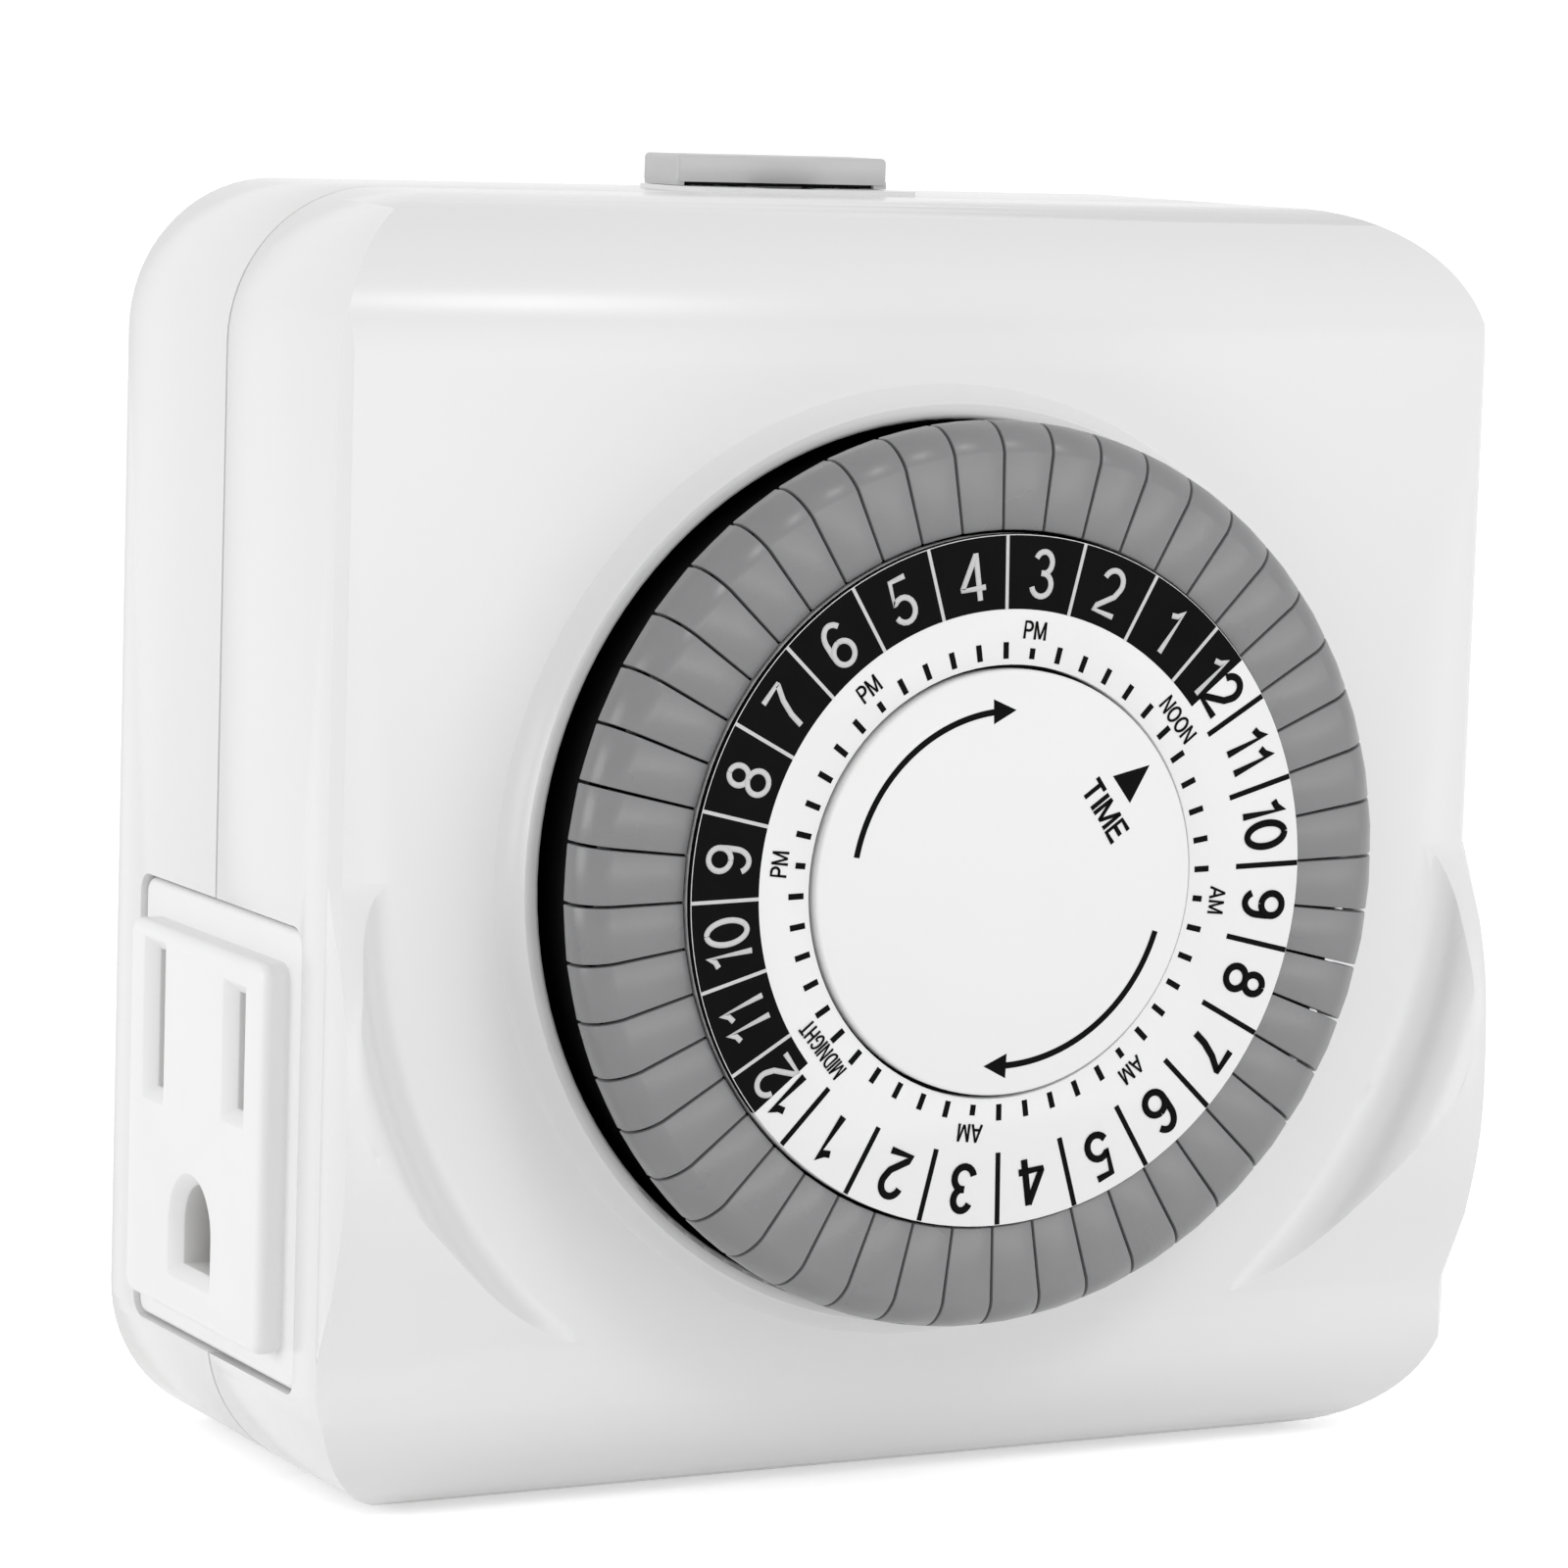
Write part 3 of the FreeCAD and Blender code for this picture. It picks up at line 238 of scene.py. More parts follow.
def refined(node, material, edge=0.0, segments=2, smooth=30.0, limit=32.0):
    """A copy of a solid with its flat faces merged, its sharp edges eased and its curves smooth."""
    piece = bpy.data.objects.new(node + "_shell", nodes[node].data.copy())
    bpy.context.collection.objects.link(piece)
    alone(piece)
    bpy.ops.object.mode_set(mode="EDIT")
    bpy.ops.mesh.select_all(action="SELECT")
    bpy.ops.mesh.remove_doubles(threshold=0.002 * MM)
    bpy.ops.mesh.customdata_custom_splitnormals_clear()
    bpy.ops.mesh.dissolve_limited(angle_limit=math.radians(0.4), delimit={"NORMAL"})
    bpy.ops.object.mode_set(mode="OBJECT")
    if edge:
        eased(piece, edge, segments, limit)
    alone(piece)
    bpy.ops.object.shade_smooth_by_angle(angle=math.radians(smooth))
    finish_piece(piece, material, node)
    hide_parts(node)
    return piece


# Materials
def node_of(tree, kind, **values):
    """Adds a shader node and sets its plain inputs."""
    made = tree.nodes.new(kind)
    for key, value in values.items():
        if hasattr(made, key):
            setattr(made, key, value)
        else:
            made.inputs[key.replace("_", " ")].default_value = value
    return made


def blank(name):
    """A material with only its surface shader, and its object coordinates."""
    material = bpy.data.materials.new(name)
    material.use_nodes = True
    tree = material.node_tree
    shader = tree.nodes["Principled BSDF"]
    place_node = tree.nodes.new("ShaderNodeTexCoord")
    return material, tree, shader, place_node.outputs["Object"]


def mottled(tree, coordinates, colour, spread, size):
    """A colour that drifts a little from place to place, as moulded resin does."""
    noise = node_of(tree, "ShaderNodeTexNoise", Scale=1.0 / size, Detail=3.0, Roughness=0.55)
    tree.links.new(coordinates, noise.inputs["Vector"])
    ramp = tree.nodes.new("ShaderNodeValToRGB")
    ramp.color_ramp.interpolation = "EASE"
    ramp.color_ramp.elements[0].position = 0.15
    ramp.color_ramp.elements[1].position = 0.85
    ramp.color_ramp.elements[0].color = tuple(c * (1.0 - spread) for c in colour) + (1.0,)
    ramp.color_ramp.elements[1].color = tuple(min(1.0, c * (1.0 + spread)) for c in colour) + (1.0,)
    tree.links.new(noise.outputs["Fac"], ramp.inputs["Fac"])
    return ramp.outputs["Color"]


def grained(tree, coordinates, shader, size, depth, low, high):
    """A fine moulded grain in the relief, if it has a depth, and a gloss that drifts over the surface."""
    if depth:
        noise = node_of(tree, "ShaderNodeTexNoise", Scale=1.0 / size, Detail=2.0, Roughness=0.5)
        tree.links.new(coordinates, noise.inputs["Vector"])
        bump = node_of(tree, "ShaderNodeBump", Strength=1.0, Distance=depth)
        tree.links.new(noise.outputs["Fac"], bump.inputs["Height"])
        tree.links.new(bump.outputs["Normal"], shader.inputs["Normal"])
    wide = node_of(tree, "ShaderNodeTexNoise", Scale=1.0 / (size * 22.0), Detail=3.0, Roughness=0.6)
    tree.links.new(coordinates, wide.inputs["Vector"])
    span = node_of(tree, "ShaderNodeMapRange")
    span.interpolation_type = "SMOOTHSTEP"
    span.inputs["From Min"].default_value = 0.1
    span.inputs["From Max"].default_value = 0.9
    span.inputs["To Min"].default_value = low
    span.inputs["To Max"].default_value = high
    tree.links.new(wide.outputs["Fac"], span.inputs["Value"])
    tree.links.new(span.outputs["Result"], shader.inputs["Roughness"])


def plastic(name, colour, gloss=(0.28, 0.36), grain=0.25 * MM, depth=0.004 * MM, spread=0.006, drift=9.0 * MM,
            shine=0.5):
    """Moulded plastic."""
    material, tree, shader, coordinates = blank(name)
    tree.links.new(mottled(tree, coordinates, colour, spread, drift), shader.inputs["Base Color"])
    shader.inputs["IOR"].default_value = 1.49
    shader.inputs["Specular IOR Level"].default_value = shine
    grained(tree, coordinates, shader, grain, depth, *gloss)
    return material


def ink(name, colour, **changes):
    """Matt printing ink."""
    return plastic(name, colour, gloss=(0.45, 0.6), grain=0.12 * MM, depth=0.001 * MM, shine=0.05, **changes)


def disc_white(name, colour):
    """The smooth, rather matt white of the two discs."""
    return plastic(name, colour, gloss=(0.4, 0.5), grain=0.3 * MM, depth=0.002 * MM)


def metal(name, colour, gloss=(0.22, 0.36), along=(1.0, 0.06, 1.0), streak=0.12 * MM):
    """Drawn or rolled metal, with fine lines along one direction."""
    material, tree, shader, coordinates = blank(name)
    tree.links.new(mottled(tree, coordinates, colour, 0.05, 4.0 * MM), shader.inputs["Base Color"])
    shader.inputs["Metallic"].default_value = 1.0
    mapping = tree.nodes.new("ShaderNodeMapping")
    mapping.inputs["Scale"].default_value = along
    tree.links.new(coordinates, mapping.inputs["Vector"])
    grained(tree, mapping.outputs["Vector"], shader, streak, 0.003 * MM, *gloss)
    return material


def wound(name, colour, pitch, axis, metallic, gloss):
    """Layers or turns that lie side by side, as wire on a coil or sheets in a core."""
    material, tree, shader, coordinates = blank(name)
    tree.links.new(mottled(tree, coordinates, colour, 0.12, 1.5 * MM), shader.inputs["Base Color"])
    shader.inputs["Metallic"].default_value = metallic
    shader.inputs["Roughness"].default_value = gloss
    wave = node_of(tree, "ShaderNodeTexWave", bands_direction=axis, wave_profile="SIN", Distortion=0.3)
    wave.inputs["Scale"].default_value = math.pi / 10.0 / pitch
    tree.links.new(coordinates, wave.inputs["Vector"])
    bump = node_of(tree, "ShaderNodeBump", Strength=1.0, Distance=pitch * 0.3)
    tree.links.new(wave.outputs["Fac"], bump.inputs["Height"])
    tree.links.new(bump.outputs["Normal"], shader.inputs["Normal"])
    return material


def seen_by(tree):
    """A factor that is one for the camera's rays and for those that gloss or glass sends on."""
    light_path = tree.nodes.new("ShaderNodeLightPath")
    clear = node_of(tree, "ShaderNodeMath", operation="MAXIMUM")
    either = node_of(tree, "ShaderNodeMath", operation="MAXIMUM")
    tree.links.new(light_path.outputs["Is Glossy Ray"], clear.inputs[0])
    tree.links.new(light_path.outputs["Is Transmission Ray"], clear.inputs[1])
    tree.links.new(light_path.outputs["Is Camera Ray"], either.inputs[0])
    tree.links.new(clear.outputs["Value"], either.inputs[1])
    return either.outputs["Value"]


def assign(names, material):
    """One material on several solids as they are."""
    for name in names:
        mesh = nodes[name].data
        mesh.materials.clear()
        mesh.materials.append(material)


# Flat print
def thin_plate(width, height, thickness):
    """A small flat plate that faces the front, drawn as a plane and extruded."""
    bpy.ops.mesh.primitive_plane_add(size=1.0)
    piece = bpy.context.object
    piece.data.transform(facing_front() @ Matrix.Diagonal((width, height, 1.0, 1.0)))
    thicken(piece, (0.0, thickness, 0.0))
    return piece


def arc_band(inner, outer, start, sweep, y, thickness, steps):
    """A thin band round the dial's axis, spun from a small rectangle."""
    piece = thin_plate(outer - inner, thickness, 0.0001 * MM)
    mesh_matrix = Matrix.Translation((0.0, y, (inner + outer) / 2)) @ Matrix.Rotation(math.pi / 2, 4, "Y")
    piece.data.transform(mesh_matrix @ Matrix.Rotation(-math.pi / 2, 4, "X"))
    piece.data.transform(Matrix.Rotation(start, 4, "Y"))
    alone(piece)
    bpy.ops.object.mode_set(mode="EDIT")
    bpy.ops.mesh.select_all(action="SELECT")
    bpy.ops.mesh.remove_doubles(threshold=0.001 * MM)
    bpy.ops.mesh.select_all(action="SELECT")
    bpy.ops.mesh.spin(steps=steps, angle=-sweep, center=(0.0, 0.0, 0.0), axis=(0.0, 1.0, 0.0))
    bpy.ops.mesh.select_all(action="SELECT")
    bpy.ops.mesh.remove_doubles(threshold=0.0005 * MM)
    bpy.ops.mesh.normals_make_consistent(inside=False)
    bpy.ops.object.mode_set(mode="OBJECT")
    return piece


def arc(x, y, wide, tall, start, end, steps=14):
    """Points along part of an ellipse, with angles in degrees counted from the right, upwards."""
    span = [math.radians(start + (end - start) * i / steps) for i in range(steps + 1)]
    return [(x + wide * math.cos(a), y + tall * math.sin(a)) for a in span]


# Centre lines of the characters' strokes, in parts of their height
SIX_BOWL = arc(0.29, 0.30, 0.23, 0.245, 90, 450, 24)
STROKES = {
    "0": [arc(0.29, 0.5, 0.235, 0.445, 90, 450, 32)],
    "1": [[(0.06, 0.76), (0.19, 0.82), (0.27, 0.97), (0.27, 0.0)]],
    "2": [arc(0.29, 0.70, 0.22, 0.245, 170, -25) + [(0.42, 0.44), (0.10, 0.16), (0.06, 0.055), (0.54, 0.055)]],
    "3": [arc(0.27, 0.725, 0.19, 0.22, 160, -80) + [(0.24, 0.515)],
          [(0.24, 0.515)] + arc(0.27, 0.285, 0.22, 0.235, 82, -165)],
    "4": [[(0.42, 0.0), (0.42, 0.95)], [(0.42, 0.93), (0.05, 0.28), (0.05, 0.25), (0.57, 0.25)]],
    "5": [[(0.51, 0.945), (0.16, 0.945), (0.10, 0.49)] + arc(0.28, 0.31, 0.23, 0.255, 132, -160)],
    "6": [arc(0.30, 0.62, 0.235, 0.325, 35, 180) + [(0.058, 0.42), (0.066, 0.27)], SIX_BOWL],
    "7": [[(0.05, 0.93), (0.53, 0.93), (0.53, 0.90), (0.36, 0.62), (0.25, 0.30), (0.21, 0.0)]],
    "8": [arc(0.29, 0.735, 0.195, 0.215, 90, 450, 24), arc(0.29, 0.28, 0.235, 0.235, 90, 450, 24)],
    "A": [[(0.0, 0.0), (0.29, 0.97), (0.33, 0.97), (0.62, 0.0)], [(0.12, 0.32), (0.50, 0.32)]],
    "D": [[(0.06, 0.05), (0.06, 0.95), (0.24, 0.95)] + arc(0.24, 0.5, 0.30, 0.45, 90, -90) + [(0.06, 0.05)]],
    "E": [[(0.52, 0.95), (0.06, 0.95), (0.06, 0.05), (0.54, 0.05)], [(0.06, 0.52), (0.48, 0.52)]],
    "G": [arc(0.33, 0.5, 0.28, 0.45, 40, 320) + [(0.60, 0.30), (0.60, 0.46), (0.36, 0.46)]],
    "H": [[(0.06, 0.0), (0.06, 1.0)], [(0.56, 0.0), (0.56, 1.0)], [(0.06, 0.52), (0.56, 0.52)]],
    "I": [[(0.06, 0.0), (0.06, 1.0)]],
    "M": [[(0.06, 0.0), (0.06, 0.96), (0.10, 0.96), (0.37, 0.10), (0.41, 0.10), (0.68, 0.96), (0.72, 0.96),
           (0.72, 0.0)]],
    "N": [[(0.06, 0.0), (0.06, 0.96), (0.10, 0.96), (0.54, 0.04), (0.58, 0.04), (0.58, 1.0)]],
    "O": [arc(0.35, 0.5, 0.30, 0.45, 90, 450, 32)],
    "P": [[(0.06, 0.0), (0.06, 0.95), (0.30, 0.95)] + arc(0.30, 0.71, 0.23, 0.24, 90, -90) + [(0.06, 0.47)]],
    "T": [[(0.0, 0.95), (0.58, 0.95)], [(0.29, 0.0), (0.29, 0.95)]],
}
STROKES["9"] = [[(0.58 - x, 1.0 - y) for x, y in line] for line in STROKES["6"]]
LETTER_GAP = 0.16


def word(text, height, width=1.0, weight=0.105, thickness=0.02 * MM):
    """A word or number as thin solid strokes that face the front, centred on its middle."""
    profile = bpy.data.curves.new("pen", "CURVE")
    profile.dimensions = "2D"
    outline = profile.splines.new("POLY")
    outline.points.add(3)
    half = weight / 2
    layer = thickness / height / 2
    corners = ((-half, -layer), (half, -layer), (half, layer), (-half, layer))
    for point, corner in zip(outline.points, corners):
        point.co = (corner[0], corner[1], 0.0, 1.0)
    outline.use_cyclic_u = True
    pen = bpy.data.objects.new("pen", profile)
    bpy.context.collection.objects.link(pen)
    line = bpy.data.curves.new("word", "CURVE")
    line.dimensions = "3D"
    line.twist_mode = "Z_UP"
    line.bevel_mode = "OBJECT"
    line.bevel_object = pen
    line.use_fill_caps = True
    left = 0.0
    lift = 0.0
    for letter in text:
        strokes = STROKES[letter]
        wide = max(x for stroke in strokes for x, y in stroke)
        for stroke in strokes:
            spline = line.splines.new("POLY")
            spline.points.add(len(stroke) - 1)
            lift += layer * 0.3
            for point, (x, y) in zip(spline.points, stroke):
                point.co = ((left + x) * width, y, lift, 1.0)
        left += wide + LETTER_GAP / width ** 0.5
    piece = bpy.data.objects.new("word", line)
    bpy.context.collection.objects.link(piece)
    alone(piece)
    bpy.ops.object.convert(target="MESH")
    piece = bpy.context.object
    bpy.data.objects.remove(pen)
    bpy.ops.object.mode_set(mode="EDIT")
    bpy.ops.mesh.select_all(action="SELECT")
    bpy.ops.mesh.normals_make_consistent(inside=False)
    bpy.ops.object.mode_set(mode="OBJECT")
    xs = [v.co.x for v in piece.data.vertices]
    middle = Vector(((min(xs) + max(xs)) / 2, 0.5, 0.0))
    piece.data.transform(facing_front() @ Matrix.Scale(height, 4) @ Matrix.Translation(-middle))
    return piece


# Each layer of print starts a little further forward than the one that it covers
PRINT_THICKNESS = 0.02 * MM
ring_y = disc_face - 0.008 * MM
line_y = disc_face - 0.022 * MM
sign_y = disc_face - 0.032 * MM
mark_y = cap_face - 0.012 * MM

HOUR_PITCH = math.radians(15.0)
PALE_WEIGHT = 0.115
DARK_WEIGHT = 0.145
DIGIT_SHIFT = 0.043
BLACK_EDGE_DEPTH = 0.42 * MM
TICK_START = 13.46 * MM
SHORT_TICK_START = 13.48 * MM
SHORT_TICK_LENGTH = 0.65 * MM
LABEL_RADIUS = 15.2 * MM
LABEL_HEIGHT = 1.08 * MM
LABEL_SHAPE = (0.95, 0.15)
LONG_LABEL_SHAPE = (0.74, 0.125)
LABELS = ((3, "PM"), (6, "PM"), (9, "PM"), (-3, "AM"), (-6, "AM"), (-9, "AM"), (0, "NOON"), (12, "MIDNIGHT"))


class TIMER_OT_housing(bpy.types.Operator):
    """Finishes the two housing shells in satin white"""
    bl_idname = "timer.housing"
    bl_label = "Housing Shells"

    def execute(self, context):
        white = plastic("white_shell", context.scene.timer_colours.housing, gloss=(0.23, 0.27),
                        grain=0.35 * MM, depth=0.0, spread=0.003, drift=30.0 * MM)
        refined("front_housing", white, edge=0.12 * MM, smooth=28.0)
        refined("rear_housing", white, edge=0.12 * MM, smooth=28.0)
        return {"FINISHED"}


class TIMER_OT_outlets(bpy.types.Operator):
    """Finishes the two outlet inserts"""
    bl_idname = "timer.outlets"
    bl_label = "Outlets"

    def execute(self, context):
        white = plastic("white_insert", context.scene.timer_colours.outlet, gloss=(0.3, 0.4), grain=0.16 * MM)
        for name in ("left_outlet", "right_outlet"):
            refined(name, white, edge=0.1 * MM, smooth=28.0)
        return {"FINISHED"}


class TIMER_OT_trippers(bpy.types.Operator):
    """Finishes the ring of push-in segments and the black carrier behind them"""
    bl_idname = "timer.trippers"
    bl_label = "Trippers"

    def execute(self, context):
        colours = context.scene.timer_colours
        grey = plastic("grey_segment", colours.tripper, gloss=(0.24, 0.34), grain=0.3 * MM, depth=0.008 * MM,
                       spread=0.03, drift=2.5 * MM)
        black = plastic("black_carrier", colours.ink, gloss=(0.35, 0.5), grain=0.2 * MM, shine=0.05)
        for name in trippers:
            refined(name, grey, edge=0.09 * MM, smooth=25.0, limit=40.0)
        refined("dial_carrier", black, smooth=28.0)
        return {"FINISHED"}


class TIMER_OT_dial_print(bpy.types.Operator):
    """Prints the hours, their lines and the half hour ticks on the number disc"""
    bl_idname = "timer.dial_print"
    bl_label = "Dial Print"

    def execute(self, context):
        colours = context.scene.timer_colours
        sizes = context.scene.timer_print
        white = disc_white("white_disc", colours.disc)
        black_ink = ink("black_ink", colours.ink)
        white_ink = ink("white_ink", colours.pale_ink, spread=0.05, drift=0.3 * MM)
        refined("number_disc", white, edge=0.06 * MM)
        outer = disc_radius - sizes.rim
        midnight = sizes.noon_angle - math.pi
        half = arc_band(sizes.ring_radius, outer, midnight, math.pi, ring_y, PRINT_THICKNESS, 96)
        edge = arc_band(disc_radius - 0.01 * MM, disc_radius + 0.015 * MM, midnight, math.pi,
                        disc_face + BLACK_EDGE_DEPTH / 2 + 0.01 * MM, BLACK_EDGE_DEPTH, 96)
        finish_piece(join([half, edge], "black_half"), black_ink, "number_disc")
        numerals = {True: [], False: []}
        lines = {True: [], False: []}
        middle = (outer + sizes.ring_radius) / 2
        for hour in range(24):
            angle = sizes.noon_angle - HOUR_PITCH * (hour - 12)
            afternoon = hour > 12
            shown = (hour - 1) % 12 + 1
            if shown == 12:
                self.split_twelve(sizes, angle, hour == 12, numerals)
            else:
                weight = PALE_WEIGHT if afternoon else DARK_WEIGHT
                piece = word(str(shown), sizes.numeral_height, sizes.numeral_width, weight)
                place(piece, clockwise(angle, sizes.numeral_radius, sign_y))
                numerals[afternoon].append(piece)
            width = sizes.pale_line if hour >= 12 else sizes.dark_line
            line = thin_plate(width, outer - sizes.ring_radius, PRINT_THICKNESS)
            place(line, clockwise(angle - HOUR_PITCH / 2, middle, line_y))
            lines[hour >= 12].append(line)
        finish_piece(join(numerals[True], "hours_afternoon"), white_ink, "number_disc")
        finish_piece(join(numerals[False], "hours_morning"), black_ink, "number_disc")
        finish_piece(join(lines[True], "lines_afternoon"), white_ink, "number_disc")
        finish_piece(join(lines[False], "lines_morning"), black_ink, "number_disc")
        finish_piece(self.ticks(sizes), black_ink, "number_disc")
        finish_piece(self.labels(sizes), black_ink, "number_disc")
        return {"FINISHED"}

    def split_twelve(self, sizes, angle, noon, numerals):
        """The one and the two of a twelve lie on different halves, so each takes the other's ink."""
        one = word("1", sizes.numeral_height, sizes.numeral_width, PALE_WEIGHT if noon else DARK_WEIGHT)
        two = word("2", sizes.numeral_height, sizes.numeral_width, DARK_WEIGHT if noon else PALE_WEIGHT)
        place(one, clockwise(angle - DIGIT_SHIFT, sizes.numeral_radius, sign_y))
        place(two, clockwise(angle + DIGIT_SHIFT, sizes.numeral_radius, sign_y))
        numerals[noon].append(one)
        numerals[not noon].append(two)

    def ticks(self, sizes):
        """A ring of half hour ticks, shorter under the AM and PM labels."""
        made = []
        for step in range(48):
            short = step % 6 == 0 and step % 24 != 0
            length = SHORT_TICK_LENGTH if short else sizes.tick_length
            start = SHORT_TICK_START if short else TICK_START
            tick = thin_plate(sizes.tick_width, length, PRINT_THICKNESS)
            angle = sizes.noon_angle - HOUR_PITCH / 2 * step
            place(tick, clockwise(angle, start + length / 2, line_y))
            made.append(tick)
        return join(made, "half_hour_ticks")

    def labels(self, sizes):
        """The small words between the ticks and the hours."""
        made = []
        for hours, text in LABELS:
            width, weight = LONG_LABEL_SHAPE if text == "MIDNIGHT" else LABEL_SHAPE
            piece = word(text, LABEL_HEIGHT, width, weight)
            place(piece, clockwise(sizes.noon_angle - HOUR_PITCH * hours, LABEL_RADIUS, line_y))
            made.append(piece)
        return join(made, "half_day_labels")


# Radius in millimetres, start and sweep in degrees of the two arrows
ARROWS = ((10.4, -79.5, 74.0), (11.05, 107.3, 71.5))
ARROW_LINE = 0.38 * MM
ARROW_HEAD = (1.55 * MM, 1.5 * MM)
ARROW_HEAD_LEAD = 0.05
POINTER = (2.4 * MM, 2.1 * MM)
POINTER_PLACE = (8.75 * MM, mark_y, 6.15 * MM)
POINTER_TURN = math.radians(53.0)
CAPTION_HEIGHT = 1.45 * MM
CAPTION_SHAPE = (1.18, 0.19)
CAPTION_PLACE = (6.7 * MM, mark_y, 4.2 * MM)
CAPTION_TURN = math.radians(55.0)


class TIMER_OT_centre_marks(bpy.types.Operator):
    """Prints the turning arrows and the time mark on the fixed centre disc"""
    bl_idname = "timer.centre_marks"
    bl_label = "Centre Marks"

    def execute(self, context):
        colours = context.scene.timer_colours
        white = disc_white("white_centre", colours.disc)
        mark_ink = ink("mark_ink", colours.ink)
        refined("centre_disc", white, edge=0.18 * MM, segments=3)
        marks = []
        for radius, start, sweep in ARROWS:
            marks += self.arrow(radius * MM, math.radians(start), math.radians(sweep))
        pointer = self.triangle(*POINTER)
        place(pointer, Matrix.Translation(POINTER_PLACE) @ Matrix.Rotation(POINTER_TURN, 4, "Y"))
        marks.append(pointer)
        caption = word("TIME", CAPTION_HEIGHT, *CAPTION_SHAPE)
        place(caption, Matrix.Translation(CAPTION_PLACE) @ Matrix.Rotation(CAPTION_TURN, 4, "Y"))
        marks.append(caption)
        finish_piece(join(marks, "centre_print"), mark_ink, "centre_disc")
        return {"FINISHED"}

    def triangle(self, length, width):
        """A flat pointer whose tip points up."""
        bpy.ops.mesh.primitive_circle_add(vertices=3, radius=1.0, fill_type="NGON")
        piece = bpy.context.object
        piece.data.transform(facing_front())
        low = min(v.co.z for v in piece.data.vertices)
        high = max(v.co.z for v in piece.data.vertices)
        tall = high - low
        wide = 2 * max(v.co.x for v in piece.data.vertices)
        piece.data.transform(Matrix.Diagonal((width / wide, 1.0, length / tall, 1.0)))
        middle = (low + high) / 2 * length / tall
        piece.data.transform(Matrix.Translation((0.0, 0.0, -middle)))
        thicken(piece, (0.0, PRINT_THICKNESS, 0.0))
        return piece

    def arrow(self, radius, start, sweep):
        """A curved arrow round the axis, with its head at the clockwise end."""
        half = ARROW_LINE / 2
        band = arc_band(radius - half, radius + half, start, sweep, mark_y, PRINT_THICKNESS, 40)
        head = self.triangle(*ARROW_HEAD)
        tip = clockwise(start + sweep + ARROW_HEAD_LEAD, radius, mark_y)
        place(head, tip @ Matrix.Rotation(math.pi / 2, 4, "Y"))
        return [band, head]


CAP_BAND = 0.6 * MM
# Sizes of the dark plate under the slide's cap, which is painted shade in the gap there, not a real part
SKIRT_LIFT = 0.07 * MM
SKIRT_THICKNESS = 0.23 * MM
SKIRT_END_INSET = 0.4 * MM
SKIRT_SIDE_INSET = 0.3 * MM
SKIRT_CORNER = 1.0 * MM
SKIRT_EASE = 0.04 * MM


class TIMER_OT_override(bpy.types.Operator):
    """Finishes the grey override slide on the top, and puts a plate of painted shade under its cap"""
    bl_idname = "timer.override"
    bl_label = "Override Slide"

    def execute(self, context):
        grey = plastic("grey_slide", context.scene.timer_colours.slide, gloss=(0.3, 0.42), grain=0.2 * MM,
                       spread=0.03, drift=3.0 * MM)
        slide = refined("override_slide", grey, edge=0.1 * MM)
        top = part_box("override_slide")[1].z
        cap = [v.co.copy() for v in slide.data.vertices if v.co.z > top - CAP_BAND]
        end = max(co.x for co in cap)
        # A black plate of painted shade fills the gap under the cap, where the white beyond would show
        black = plastic("black_skirt", context.scene.timer_colours.ink, gloss=(0.4, 0.55), shine=0.05)
        finish_piece(self.skirt(end, min(co.y for co in cap), max(co.y for co in cap)), black, "override_slide")
        return {"FINISHED"}

    def skirt(self, end, front, back):
        """The thin dark plate between the slide's cap and its track, painted shade that darkens the gap under
        the cap.
        """
        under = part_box("rear_housing")[1].z + SKIRT_LIFT
        bpy.ops.mesh.primitive_plane_add(size=1.0)
        piece = bpy.context.object
        piece.name = "slide_skirt"
        middle = Vector((0.0, (front + back) / 2, under))
        length = 2 * (end - SKIRT_END_INSET)
        depth = back - front - 2 * SKIRT_SIDE_INSET
        piece.data.transform(Matrix.Translation(middle) @ Matrix.Diagonal((length, depth, 1.0, 1.0)))
        thicken(piece, (0.0, 0.0, SKIRT_THICKNESS))
        round_edges(piece, lambda a, b: abs(a.z - b.z) > SKIRT_THICKNESS / 2, SKIRT_CORNER, 5)
        eased(piece, SKIRT_EASE)
        return piece


class TIMER_OT_plug(bpy.types.Operator):
    """Finishes the blades, the ground pin and the screws of the rear"""
    bl_idname = "timer.plug"
    bl_label = "Plug and Screws"

    def execute(self, context):
        nickel = metal("nickel_blade", (0.72, 0.66, 0.55), along=(1.0, 0.05, 1.0))
        steel = metal("steel_screw", (0.55, 0.55, 0.56), gloss=(0.3, 0.45), along=(1.0, 1.0, 1.0))
        refined("hot_blade", nickel, edge=0.12 * MM)
        refined("neutral_blade", nickel, edge=0.12 * MM)
        refined("ground_pin", nickel, edge=0.15 * MM)
        refined("housing_screws", steel, edge=0.08 * MM)
        refined("plate_screws", steel, edge=0.06 * MM)
        return {"FINISHED"}


